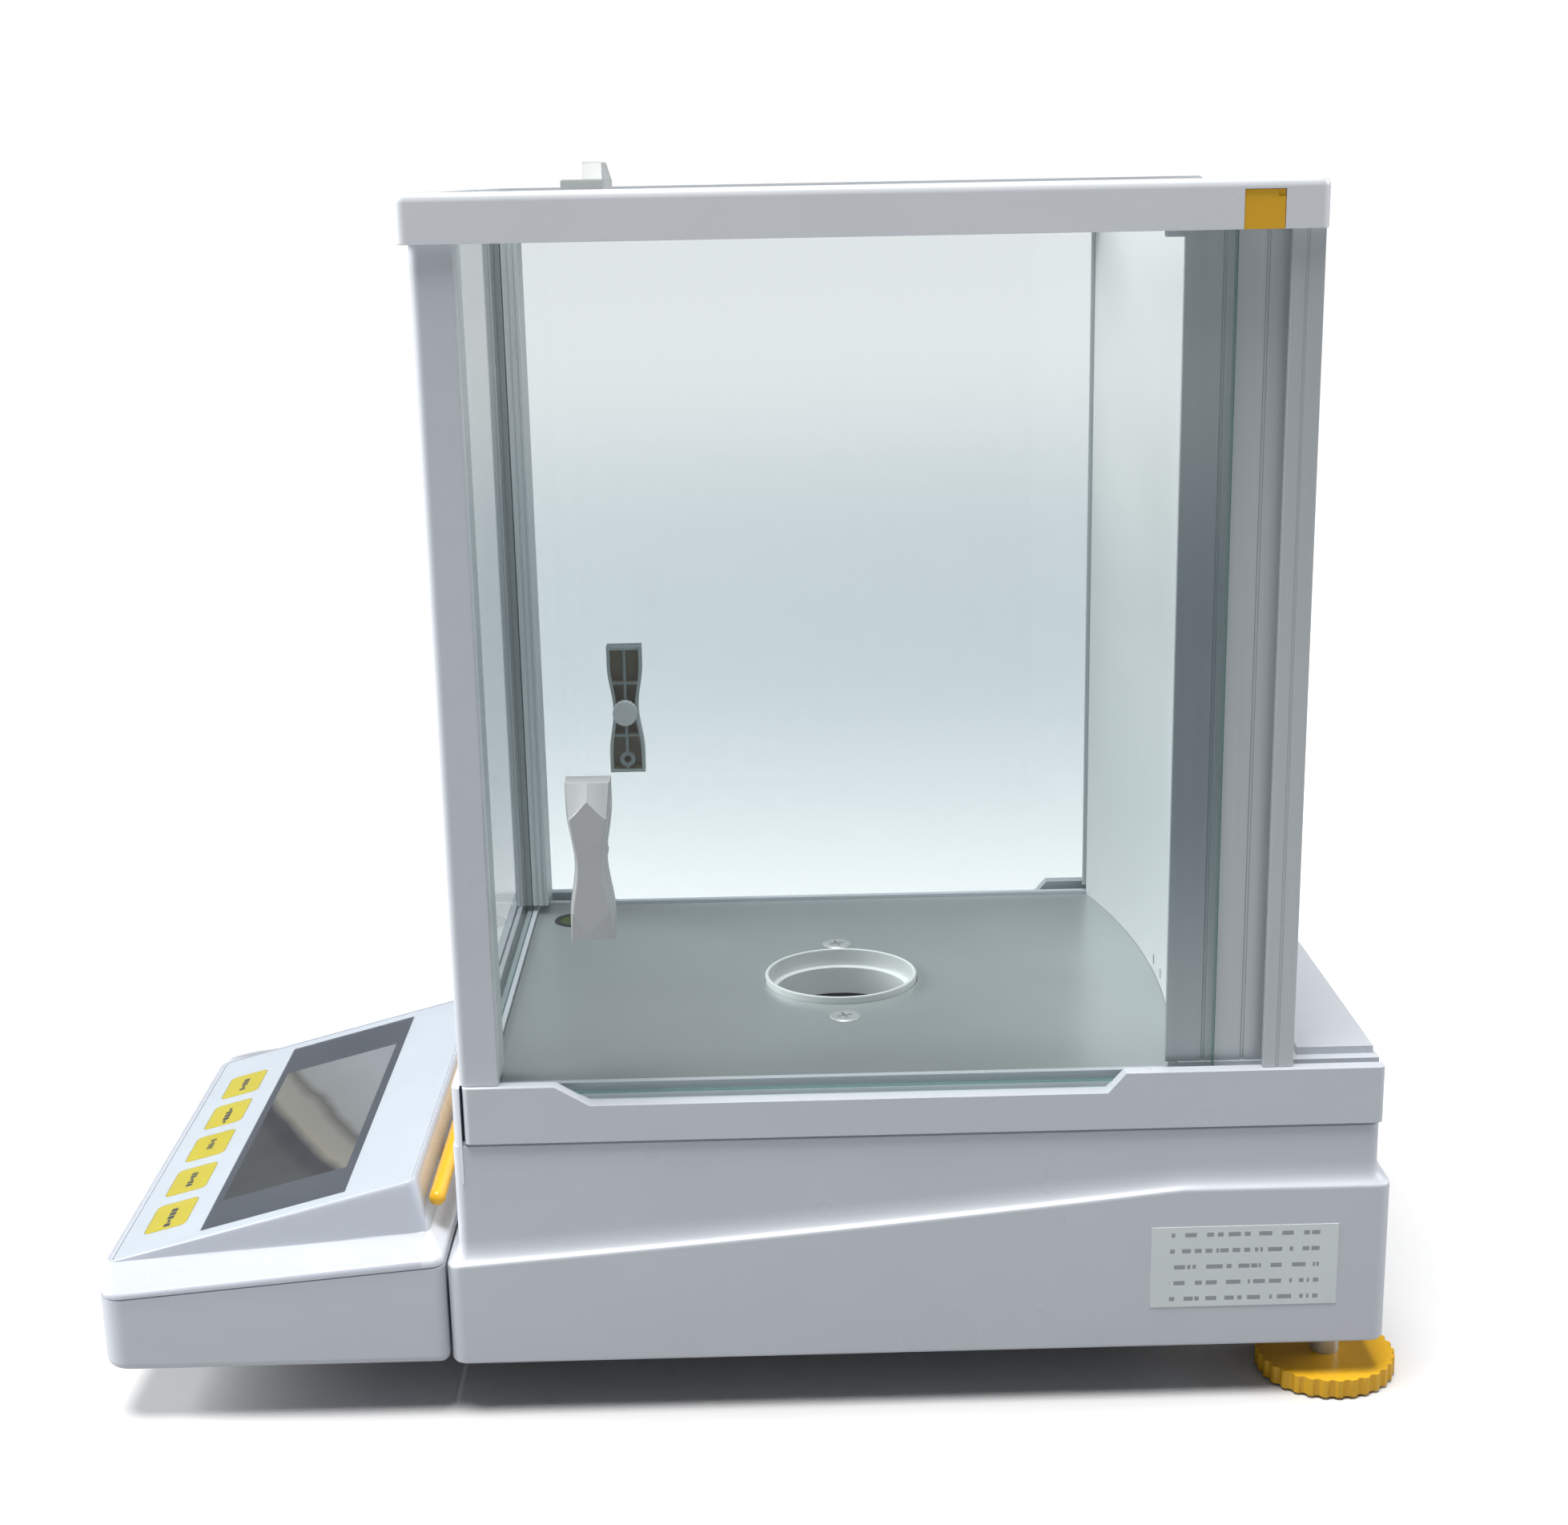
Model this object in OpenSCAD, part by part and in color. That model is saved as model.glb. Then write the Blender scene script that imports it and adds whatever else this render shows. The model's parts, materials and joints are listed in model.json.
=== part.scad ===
// Analytical balance with a glass draft shield, a sloping keypad and levelling feet.
// X runs across the balance, Y runs from the keypad (front) to the rear, Z points up.
// The origin lies on the table, below the middle of the whole balance.

/* [Base] */
// Half width of the casing at its lower bulge
bulge_half = 95.5; // [95.5:0.5:97]
// Front face of the casing
base_front = -86; // [-86.2:0.1:-86]
// Rear face of the casing
base_rear = 179; // [178.5:0.5:181]
// Underside of the casing above the table
base_bottom = 16.5; // [15.5:0.5:17]
// Top of the casing, where the deck frame sits
casing_top = 82.5; // [80:0.5:84]
// Height of the wave-shaped ledge at the front
wave_front_z = 46.6; // [44:0.2:50]
// Height of the wave-shaped ledge at the rear
wave_rear_z = 64.7; // [60:0.1:68]
// Wall thickness of the casing
wall = 2.5; // [2:0.25:3]

/* [Deck frame] */
// Half width of the deck frame
deck_half = 93.5; // [92:0.5:94]
// Front face of the deck frame
deck_front = -79; // [-80:0.5:-78.5]
// Rear face of the deck frame
deck_rear = 176; // [174:0.5:178]
// Top of the deck frame
deck_top = 99; // [98.5:0.1:99.5]
// Top of the metal floor plate in the weighing chamber
floor_z = 96; // [95.8:0.1:96.2]
// Half width of the metal floor plate
floor_half = 83.5; // [82:0.1:83.6]
// Start of the low part of the side lips, measured along Y
notch_front = -44; // [-50:1:-40]
// End of the low part of the side lips, measured along Y
notch_rear = 99; // [90:1:100]
// Height of the low part of the side lips
notch_z = 93.3; // [92.5:0.1:94]

/* [Draft shield] */
// Half width of the top frame
top_half = 94.5; // [93.5:0.5:96]
// Front face of the top frame
top_front = -83; // [-85:0.5:-82]
// Rear face of the top frame
top_rear = 151; // [151:0.5:154]
// Underside of the top frame
top_bottom = 324; // [300:1:340]
// Height of the top frame
top_height = 12.5; // [12.5:0.5:16]
// Thickness of the sliding glass doors
glass_t = 3; // [2.8:0.1:3]
// Inner face of the side doors, measured from the middle
door_x = 86; // [86:0.1:86.2]
// Rear edge of the closed side doors
door_rear = 129; // [120:1:135]
// Radius of the curved rear wall
wall_radius = 364; // [364:1:380]

/* [Chamber fittings] */
// Outer radius of the white draft ring
ring_r = 23.7; // [23:0.1:24]
// Distance of the draft ring's axis behind the origin
ring_y = 28.7; // [28.5:0.1:29]
// Distance of the floor screws from the middle
screw_x = 34.3; // [33:0.1:36]
// Radius of the pan stem's socket
socket_r = 3; // [2.5:0.1:3.5]

/* [Handles] */
// Length of a door handle
handle_l = 44; // [42:0.5:46]
// Width of a door handle at its ends
handle_w = 12; // [11.5:0.1:12.5]
// Height of a door handle above the glass
handle_t = 11.7; // [11:0.1:12]
// Height of the side door handles' middle above the table
handle_z = 163.8; // [140:0.2:220]
// Place of every handle along Y with the doors closed
handle_y = -40.7; // [-41:0.1:-38]

/* [Keypad] */
// Front face of the keypad housing
pad_front = -184.9; // [-185.5:0.1:-184.9]
// Rear face of the keypad housing
pad_rear = -86.6; // [-87:0.1:-86.5]
// Half width of the keypad housing
pad_half = 94.5; // [94:0.1:94.8]
// Slope of the key panel
panel_tilt = 14.7; // [14.5:0.1:15]
// Half width of the key panel
panel_half = 78; // [77:0.5:78]
// Length of the key panel along its slope
panel_l = 90; // [89.5:0.5:90]
// Distance between neighbouring keys
key_pitch = 26; // [24:0.5:27]
// Width of a key
key_w = 19.5; // [18:0.5:20]
// Length of a key along the slope
key_l = 12.8; // [12:0.1:13]
// How far the keys and the window lie off the panel's middle
print_offset = 2.5; // [0:0.5:3]

/* [Feet] */
// Radius of the levelling wheels
wheel_r = 20; // [18:0.5:20]
// Height of the levelling wheels
wheel_h = 5.4; // [5:0.1:6]
// Distance of the levelling feet from the middle
foot_x = 79; // [74:0.5:80]
// Place of the levelling feet along Y
foot_y = 166; // [165:0.5:166]
// Number of finger notches round a levelling wheel
notch_count = 30; // [20:1:36]

/* [Hidden] */
$fn = 64;
eps = 0.01;
fit = 0.2;
run = 0.05;
plate_z = 17;
plate_t = 2.5;
upper_half = deck_half - 0.5;
upper_front = deck_front - 3.2;
upper_rear = deck_rear - 0.4;
hollow_front = upper_front + wall + 0.2;
wave_run = 206;
top_z = top_bottom + top_height;
rim_z = floor_z + 1.2;
track_z = 94.6;
tray_z = floor_z - 1.6;
tray_bottom = 88.5;
wall_t = 2.5;
arc_y = 126.9 - wall_radius;
post_inner = 74;
post_front = -78;
post_rear = -69;
glass_front_y = -77.3;
lid_z = top_bottom + 5;
rear_post_y = 123;
rear_post_end = 150.5;
trim_y = 142;
vial_x = -66;
vial_y = -59;
vial_r = 7;
vial_floor = 92;
ring_wall = 1.2;
ring_z = 91.4;
ring_top = 98.2;
socket_top = 86;
strip_front = 153.5;
strip_z = 101.3;
bottom_screw_x = 84;
bottom_screw_y = [-66, 50];
front_foot = [50, -62];
rear_screw_x = 62;
rear_screw_z = [112, 310];
small_screw_r = 1.6;
cable_half = 20;
cable_z = [22, 30];
power_x = -40;
power_z = 35;
data_z = 37.2;
board_low = [34, -30, 24];
board_size = [46, 100, 1.6];
coil_r = 15.5;
cell_half = 30;
pivot_y = ring_y + 30;
coil_y = ring_y + 71;
lever_z = 53;
part_tilt = 4.9;
part_z = 38.2;
panel_y = -183.9;
panel_z = 42.8;
key_s = 12.4;
band_half = 73;
band_s = [25.5, 69.3];
lcd_half = 51;
lcd_s = [28, 66.5];
film_t = 1.1;
rod_half = 76;
rod_y = -90;
rod_z = 59.4;
rod_r = 2.4;
cap_front = -80;
cap_half = 92;
cap_r = 2.5;
groove_w = 5.3;
glass_rear_y = -74.1;
plug_y = 129;
plug_l = 10.5;
plug_h = 9.8;
stud_r = 2;
nut_r = 4.2;
nut_t = 3.6;
label_y = [111.7, 164.3];
label_z = [29, 53.4];
pale = [0.9, 0.9, 0.93];
white = [0.96, 0.96, 0.96];
satin = [0.62, 0.64, 0.65];
steel = [0.72, 0.73, 0.75];
amber = [0.96, 0.72, 0.08];
dark = [0.2, 0.22, 0.24];
clear = [0.82, 0.93, 0.9, 0.35];

// A box between two opposite corners
module block(low, high) {
    translate(low)
        cube(high - low);
}

// A rectangle with round corners
module round_rect(low, high, r) {
    translate([low[0] + r, low[1]])
        square([high[0] - low[0] - 2 * r, high[1] - low[1]]);
    translate([low[0], low[1] + r])
        square([high[0] - low[0], high[1] - low[1] - 2 * r]);
    for (x = [low[0] + r, high[0] - r], y = [low[1] + r, high[1] - r])
        translate([x, y])
            circle(r);
}

// A block with round vertical edges, symmetrical about X = 0
module round_block(half, y0, y1, z0, z1, r) {
    translate([0, 0, z0])
        linear_extrude(z1 - z0)
            round_rect([-half, y0], [half, y1], r);
}

// A copy at +X and a mirrored copy at -X
module both_sides() {
    children();
    mirror([1, 0, 0])
        children();
}

// The same piece, mirrored to the left side when left is true
module on_side(left) {
    mirror([left ? 1 : 0, 0, 0])
        children();
}

// An outline in Y and Z, drawn out along X
module across(x0, x1) {
    translate([x0, 0, 0])
        rotate([90, 0, 90])
            linear_extrude(x1 - x0)
                children();
}

// A tube along Z
module tube(r_out, r_in, z0, z1) {
    translate([0, 0, z0])
        difference() {
            cylinder(h = z1 - z0, r = r_out);
            translate([0, 0, -1])
                cylinder(h = z1 - z0 + 2, r = r_in);
        }
}

// ---- Base ----

// Height of the ledge: a slightly hollow ramp that runs out level behind
function wave_z(y) =
    let (s = min(1, (y - base_front) / wave_run))
    wave_front_z + (wave_rear_z - wave_front_z) * s * (0.78 + 0.22 * s);

module wave_outline(drop) {
    polygon(concat(
        [[base_rear + 5, 0], [base_front - 5, 0], [base_front - 5, wave_front_z - drop]],
        [for (i = [0:12]) let (y = base_front + i * wave_run / 12) [y, wave_z(y) - drop]],
        [[base_rear + 5, wave_rear_z - drop]]));
}

module base_casing() {
    color(pale)
        difference() {
            union() {
                intersection() {
                    round_block(bulge_half, base_front, base_rear, base_bottom, casing_top, 7);
                    across(-bulge_half - 1, bulge_half + 1)
                        wave_outline(0);
                }
                round_block(upper_half, upper_front, upper_rear, base_bottom, casing_top, 4);
                // The front wall rises in front of the deck frame
                intersection() {
                    round_block(upper_half, upper_front, upper_rear, 60, deck_top, 4);
                    block([-100, upper_front - 1, 50], [100, upper_front + wall, 110]);
                }
            }
            round_block(upper_half - wall, hollow_front, upper_rear - wall, 0, 100, 3);
            // Openings in the rear wall for the two sockets, and in front for the flat cable
            block([power_x - 6, 170, power_z - 6.2], [power_x + 6.2, 190, power_z + 6.2]);
            block([-15.6, 170, data_z - 6.4], [15.6, 190, data_z + 6.4]);
            cable_opening(-70);
        }
}

// The slot that the flat cable to the keypad passes through
module cable_opening(y) {
    block([-cable_half, -95, cable_z[0]], [cable_half, y, cable_z[1]]);
}

module at_bottom_screws() {
    for (x = [-bottom_screw_x, bottom_screw_x], y = bottom_screw_y)
        translate([x, y, 0])
            children();
}

module bottom_plate() {
    color(steel)
        difference() {
            round_block(upper_half - wall - fit, hollow_front + fit, upper_rear - wall - fit,
                plate_z, plate_z + plate_t, 3);
            for (x = [-foot_x, foot_x])
                translate([x, foot_y, 0])
                    cylinder(h = 40, r = 4 + run);
            both_sides()
                translate(front_foot)
                    cylinder(h = 40, r = 3 + run);
            at_bottom_screws()
                cylinder(h = 40, r = small_screw_r + run);
            // Air slots
            for (y = [70:10:110])
                block([-40, y, 0], [40, y + 4, 40]);
        }
}

// A pan head screw pointing up, head below z = 0
module pan_screw(r, l) {
    difference() {
        union() {
            translate([0, 0, -1.4])
                cylinder(h = 1.4, r = 1.9 * r);
            translate([0, 0, -eps])
                cylinder(h = l, r = r);
        }
        for (a = [0, 90])
            rotate(a)
                translate([-r, -0.3, -2])
                    cube([2 * r, 0.6, 1.4]);
    }
}

module bottom_screws() {
    color(steel)
        at_bottom_screws()
            translate([0, 0, plate_z])
                pan_screw(small_screw_r, 8);
}

module floor_outline(half, front, grow) {
    intersection() {
        translate([-half, front])
            square([2 * half, 240]);
        translate([0, arc_y])
            circle(wall_radius + grow, $fn = 200);
    }
}

module deck_frame() {
    lip_x = door_x + glass_t + fit;
    color(pale)
        difference() {
            union() {
                round_block(deck_half, deck_front, deck_rear, casing_top, deck_top, 2);
                block([-floor_half + 1, strip_front, deck_top - eps],
                    [floor_half - 1, deck_rear - 1, strip_z]);
            }
            // Chamber recess with its low inner rim
            translate([0, 0, rim_z])
                linear_extrude(10)
                    floor_outline(door_x + 0.5, -74.4, wall_t + fit);
            translate([0, 0, tray_z])
                linear_extrude(10)
                    floor_outline(floor_half + fit, -72.6, wall_t + fit);
            // Tracks of the side doors, open to the rear
            both_sides()
                block([door_x - fit, post_rear, track_z], [lip_x, 200, 110]);
            // Groove of the front glass
            block([-post_inner - groove_w, glass_front_y - fit, track_z],
                [post_inner + groove_w, glass_rear_y, 110]);
            // Low part of the side lips
            both_sides()
                across(lip_x - 1, deck_half + 1)
                    polygon([[notch_front - 9.5, deck_top + 1], [notch_front - 9.5, deck_top],
                        [notch_front, notch_z], [notch_rear, notch_z],
                        [notch_rear + 5, deck_top], [notch_rear + 5, deck_top + 1]]);
            // Hollow underside
            block([-86, -72, casing_top - 1], [86, 168, tray_bottom]);
            // Seats of the draft ring, the level and the floor screws
            translate([0, ring_y, 0])
                tube(ring_r + fit, 0, ring_z - 0.1, 100);
            translate([0, ring_y, 0])
                cylinder(h = 100, r = ring_r - 1.8);
            translate([vial_x, vial_y, vial_floor - 2])
                cylinder(h = 20, r = vial_r + fit);
            for (x = [-screw_x, screw_x])
                translate([x, ring_y, 0])
                    cylinder(h = 100, r = 2 + run);
        }
}

module floor_plate() {
    color(satin)
        difference() {
            translate([0, 0, tray_z + 0.1])
                linear_extrude(floor_z - tray_z - 0.1)
                    floor_outline(floor_half, -72.4, -fit);
            translate([0, ring_y, 80])
                cylinder(h = 30, r = ring_r + fit);
            translate([vial_x, vial_y, 80])
                cylinder(h = 30, r = vial_r + fit);
            for (x = [-screw_x, screw_x])
                translate([x, ring_y, 0]) {
                    cylinder(h = 100, r = 2.3);
                    translate([0, 0, floor_z - 1.4])
                        cylinder(h = 3, r1 = 2.3, r2 = 8.2);
                }
        }
}

module draft_ring() {
    color(white)
        translate([0, ring_y, 0]) {
            tube(ring_r, ring_r - ring_wall, ring_z, ring_top);
            tube(ring_r - 1.1, ring_r - 3.3, ring_z, ring_z + 1.4);
            tube(ring_r - 2, ring_r - 2 - ring_wall, 84, ring_z + 0.1);
        }
}

module floor_screws() {
    color(steel)
        for (x = [-screw_x, screw_x])
            translate([x, ring_y, 0])
                difference() {
                    union() {
                        translate([0, 0, 84])
                            cylinder(h = 11, r = 2);
                        translate([0, 0, floor_z - 1.1])
                            cylinder(h = 1.1, r1 = 2, r2 = 4.3);
                        translate([0, 0, floor_z - eps])
                            cylinder(h = 0.35, r1 = 4.85, r2 = 4.2);
                    }
                    for (a = [0, 90])
                        rotate(a + 20)
                            translate([-2.4, -0.45, floor_z - 0.7])
                                cube([4.8, 0.9, 2]);
                }
}

module level_housing() {
    color(dark)
        translate([vial_x, vial_y, 0])
            difference() {
                translate([0, 0, vial_floor - 1.8])
                    cylinder(h = floor_z + 2.2 - vial_floor, r = vial_r);
                translate([0, 0, vial_floor])
                    cylinder(h = 10, r = vial_r - 1.4);
            }
}

module level_vial() {
    color(clear)
        translate([vial_x, vial_y, vial_floor])
            cylinder(h = floor_z + 0.2 - vial_floor, r = vial_r - 1.45);
}

// ---- Weighing cell inside the base ----

module cell_frame() {
    z0 = plate_z + plate_t;
    color("silver")
        difference() {
            union() {
                block([-cell_half, ring_y - 16, z0], [cell_half, coil_y + 22, z0 + 7]);
                block([-cell_half, ring_y - 16, z0], [cell_half, ring_y - 9, 78]);
                both_sides()
                    block([9, pivot_y - 6, z0], [16, pivot_y + 6, lever_z + 7]);
            }
            rotate([0, 90, 0])
                translate([-lever_z, pivot_y, -40])
                    cylinder(h = 80, r = 1.5);
        }
}

module cell_pivot_pin() {
    color(steel)
        translate([-18, pivot_y, lever_z])
            rotate([0, 90, 0])
                cylinder(h = 36, r = 1.5);
}

module cell_lever() {
    color([0.8, 0.81, 0.83])
        difference() {
            union() {
                block([-5, ring_y - 4, lever_z - 3], [5, coil_y + 4, lever_z + 3]);
                translate([0, coil_y, lever_z - 3])
                    cylinder(h = 3, r = coil_r);
            }
            rotate([0, 90, 0])
                translate([-lever_z, pivot_y, -40])
                    cylinder(h = 80, r = 1.5 + run);
        }
}

module cell_coil() {
    color([0.75, 0.42, 0.2])
        translate([0, coil_y, 0])
            tube(coil_r, coil_r - 2.7, 36, lever_z - 3);
}

module cell_magnet() {
    color(dark)
        translate([0, coil_y, 0]) {
            tube(coil_r + 5.5, coil_r + 2, plate_z + plate_t + 7, 46);
            translate([0, 0, plate_z + plate_t + 7])
                cylinder(h = 5, r = coil_r + 2.5);
            translate([0, 0, plate_z + plate_t + 7])
                cylinder(h = 19, r = coil_r - 4.5);
        }
}

module guide_plates() {
    color(satin)
        for (z = [60, 77])
            difference() {
                block([-14, ring_y - 9, z], [14, ring_y + 12, z + 1]);
                translate([0, ring_y, z - 1])
                    cylinder(h = 3, r = 6.4);
            }
}

module pan_carrier() {
    color("silver")
        difference() {
            translate([0, ring_y, lever_z + 3.2])
                cylinder(h = socket_top - lever_z - 3.2, r = 6);
            translate([0, ring_y, socket_top - 10])
                cylinder(h = 20, r = socket_r);
        }
}

module main_board() {
    color([0.1, 0.35, 0.2])
        translate(board_low) {
            cube(board_size);
            // Processor, connector and two capacitors
            translate([0, 0, board_size[2] - eps]) {
                block([16, 20, 0], [30, 34, 2.4]);
                block([18, 60, 0], [40, 68, 4.4]);
                for (y = [44, 52])
                    translate([38, y, 0])
                        cylinder(h = 9, r = 3);
            }
        }
}

module board_standoffs() {
    color([0.8, 0.68, 0.35])
        for (x = [4, board_size[0] - 4], y = [4, board_size[1] - 4])
            translate([board_low[0] + x, board_low[1] + y, plate_z + plate_t])
                cylinder(h = board_low[2] - plate_z - plate_t, r = 2.5);
}

module power_socket() {
    color(dark)
        translate([power_x, 0, power_z]) {
            difference() {
                block([-5.8, 165, -5.8], [5.8, base_rear + 0.5, 5.8]);
                rotate([-90, 0, 0])
                    translate([0, 0, base_rear - 9])
                        cylinder(h = 20, r = 2.9);
            }
            rotate([-90, 0, 0])
                translate([0, 0, base_rear - 10])
                    cylinder(h = 9.5, r = 1);
        }
}

module data_socket() {
    color([0.75, 0.76, 0.78])
        translate([0, 0, data_z])
            difference() {
                union() {
                    block([-15.4, base_rear - 3, -6.2], [15.4, base_rear + 0.4, 6.2]);
                    block([-9.5, 160, -5], [9.5, base_rear, 5]);
                    translate([0, base_rear - eps, 0])
                        rotate([-90, 0, 0])
                            linear_extrude(5)
                                polygon([[-8.4, -4.2], [8.4, -4.2], [7, 4.2], [-7, 4.2]]);
                }
                for (i = [0:8])
                    translate([(i < 5 ? i - 2 : i - 6.5) * 2.74, base_rear, i < 5 ? 1.4 : -1.4])
                        rotate([-90, 0, 0])
                            cylinder(h = 10, r = 0.5);
            }
}

// ---- Feet ----

module front_feet() {
    color([0.15, 0.15, 0.16])
        both_sides()
            translate(front_foot) {
                cylinder(h = 3, r1 = 9, r2 = 9.4);
                translate([0, 0, 3 - eps])
                    cylinder(h = plate_z - 3 + eps, r1 = 9.4, r2 = 8);
                translate([0, 0, plate_z - eps])
                    cylinder(h = 4, r = 3);
            }
}

module level_pad() {
    color(dark)
        translate([foot_x, foot_y, 0])
            cylinder(h = 2, r = 7);
}

module level_wheel() {
    color(amber)
        translate([foot_x, foot_y, 0])
            difference() {
                translate([0, 0, 0.7])
                    linear_extrude(wheel_h)
                        difference() {
                            circle(wheel_r);
                            for (i = [0:notch_count - 1])
                                rotate((i + 0.5) * 360 / notch_count)
                                    translate([wheel_r + 0.7, 0])
                                        circle(1.5, $fn = 16);
                        }
                translate([0, 0, -1])
                    cylinder(h = 3.3, r = 7.4);
                cylinder(h = 20, r = 4);
            }
}

module level_stud() {
    color(steel)
        translate([foot_x, foot_y, 2.5])
            cylinder(h = 27.5, r = 4);
}

// ---- Keypad ----

// The key panel's own frame: Y runs up the slope, Z stands square on it
module on_panel() {
    translate([0, panel_y, panel_z])
        rotate([panel_tilt, 0, 0])
            children();
}

// The sloping plane on which the keypad's two shells meet
module on_parting() {
    translate([0, pad_front, part_z])
        rotate([part_tilt, 0, 0])
            children();
}

module keypad_base() {
    difference() {
        color(pale)
            round_block(pad_half, pad_front, pad_rear, base_bottom, 60, 8);
        on_parting()
            block([-120, -20, 0], [120, 130, 60]);
        round_block(pad_half - wall, pad_front + wall, pad_rear - wall, base_bottom + wall, 100, 6);
        cable_opening(-80);
    }
}

// A thin round-cornered slab, one end of a hull
module slab(half, y0, y1, z, r) {
    translate([0, 0, z - 0.2])
        linear_extrude(0.2)
            round_rect([-half, y0], [half, y1], r, $fn = 24);
}

// Outer form of the keypad's upper shell, grown or shrunk all round
module pad_form(grow) {
    hull() {
        on_parting()
            slab(pad_half + grow, -grow, 99.6 + grow, 0.2, 8 + grow);
        foot_slab(grow);
    }
    hull() {
        foot_slab(grow);
        on_panel()
            slab(panel_half + 0.8 + grow, -1 - grow, panel_l + 0.8 + grow, grow, 3 + grow);
    }
}

module foot_slab(grow) {
    translate([0, panel_y, panel_z])
        rotate([5.6, 0, 0])
            slab(83 + grow, -1.6 - grow, 92.5 + grow, grow, 5 + grow);
}

module key_outline(gap) {
    round_rect([-key_w / 2 - gap, -key_l / 2 - gap], [key_w / 2 + gap, key_l / 2 + gap], 2 + gap);
}

module at_keys(numbers) {
    for (i = numbers)
        on_panel()
            translate([print_offset + (3 - i) * key_pitch, key_s, 0])
                children();
}

module keypad_cover() {
    color(white)
        difference() {
            pad_form(0);
            on_parting()
                translate([0, 0, -0.1])
                    pad_hollow();
            on_panel()
                block([-panel_half, 0, -1.2], [panel_half, panel_l, 5]);
            at_keys([1:5])
                translate([0, 0, -6])
                    linear_extrude(10)
                        key_outline(0.4);
            on_panel()
                block([print_offset - lcd_half - 4, lcd_s[0] - 2, -8],
                    [print_offset + lcd_half + 4, lcd_s[1] + 2, 5]);
        }
}

// The hollow under the keypad's upper shell
module pad_hollow() {
    hull() {
        slab(pad_half - wall, wall, 99.6 - wall, 0, 6);
        translate([0, wall, 2])
            rotate([0.7, 0, 0])
                slab(80, 0, 88, 0, 5);
    }
    hull() {
        translate([0, wall, 2])
            rotate([0.7, 0, 0])
                slab(80, 0, 88, 0, 5);
        translate([0, 4.8, 2.2])
            rotate([panel_tilt - part_tilt, 0, 0])
                slab(76, 0, 84, 0, 3);
    }
}

module front_panel() {
    color([0.85, 0.87, 0.88])
        difference() {
            on_panel()
                translate([0, 0, -film_t])
                    linear_extrude(film_t)
                        round_rect([-panel_half + 0.1, 0.1], [panel_half - 0.1, panel_l - 0.1], 2);
            at_keys([1:5])
                translate([0, 0, -2])
                    linear_extrude(4)
                        key_outline(0.15);
            on_panel()
                block([-band_half, band_s[0], -2], [band_half, band_s[1], 2]);
        }
}

module display_window() {
    color([0.35, 0.38, 0.4])
        on_panel()
            block([-band_half + 0.1, band_s[0] + 0.1, -film_t],
                [band_half - 0.1, band_s[1] - 0.1, -0.05]);
}

module lcd_module() {
    color([0.55, 0.58, 0.5])
        on_panel()
            block([print_offset - lcd_half, lcd_s[0], -5.6],
                [print_offset + lcd_half, lcd_s[1], -film_t - 0.1]);
}

module keypad_board() {
    color([0.1, 0.35, 0.2])
        on_panel() {
            block([-62, 6, -8.6], [68, 74, -7]);
            // Five switches, and the driver board behind the display
            for (i = [1:5])
                translate([print_offset + (3 - i) * key_pitch, key_s, -7 - eps])
                    linear_extrude(0.8)
                        square(6, center = true);
            block([-46, 30, -7 - eps], [50, 64, -5.7]);
        }
}

module key(i) {
    color([0.93, 0.86, 0.2])
        at_keys([i]) {
            translate([0, 0, -film_t])
                linear_extrude(film_t + 0.05)
                    key_outline(0);
            translate([0, 0, -5.6])
                linear_extrude(4.6)
                    square([8, 6], center = true);
        }
}

module clear_cover() {
    color(clear)
        difference() {
            pad_form(0.9);
            pad_form(0.3);
            on_parting()
                block([-120, -20, -20], [120, 130, 0.3]);
            // Open behind, where the trim rod stands
            block([-120, -93, 0], [120, -80, 100]);
        }
}

module trim_rod() {
    color(amber) {
        translate([-rod_half, rod_y, rod_z])
            rotate([0, 90, 0])
                cylinder(h = 2 * rod_half, r = rod_r);
        for (x = [-rod_half, rod_half])
            translate([x, rod_y, rod_z])
                sphere(r = rod_r);
        // Two short stalks stand on the keypad's rear edge
        for (x = [-26, 26])
            block([x - 2.5, rod_y - 1, 51.3], [x + 2.5, rod_y + 1, rod_z - 1.4]);
    }
}

// ---- Draft shield ----

module front_posts() {
    color(satin)
        both_sides()
            difference() {
                block([post_inner, post_front, deck_top], [89, post_rear, top_bottom]);
                block([post_inner - 1, glass_front_y - fit, 0], [post_inner + groove_w, glass_rear_y, 400]);
                // Shallow grooves down the inner faces
                for (y = [-72.6, -70.6])
                    block([post_inner - 1, y, 0], [post_inner + 0.5, y + 0.7, 400]);
            }
}

module front_caps() {
    color(pale)
        both_sides()
            translate([0, 0, deck_top])
                linear_extrude(top_bottom - deck_top)
                    difference() {
                        union() {
                            translate([post_inner, cap_front])
                                square([cap_half - post_inner - cap_r, 4]);
                            translate([86, cap_front + cap_r])
                                square([cap_half - 86, 60]);
                            translate([cap_half - cap_r, cap_front + cap_r])
                                circle(cap_r);
                        }
                        translate([post_inner - 1, post_front])
                            square([16.05, 40]);
                        translate([80, post_rear])
                            square([20, 200]);
                    }
}

module front_glass() {
    color(clear)
        block([-post_inner - 5, glass_front_y, 95], [post_inner + 5, glass_front_y + glass_t, 324]);
}

module rear_posts() {
    color(satin)
        both_sides()
            difference() {
                union() {
                    block([70, rear_post_y, deck_top], [85.4, rear_post_end, top_bottom]);
                    block([83.9, 116, deck_top], [85.4, rear_post_y + 1, top_bottom]);
                }
                for (y = [126, 137, 147])
                    block([84.9, y, 0], [90, y + 0.8, 400]);
            }
}

module rear_trims() {
    color([0.75, 0.77, 0.79])
        both_sides()
            difference() {
                block([89.6, trim_y, deck_top], [91.6, rear_post_end, top_bottom]);
                block([91.2, trim_y + 3.6, 0], [95, trim_y + 4.4, 400]);
            }
}

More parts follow.
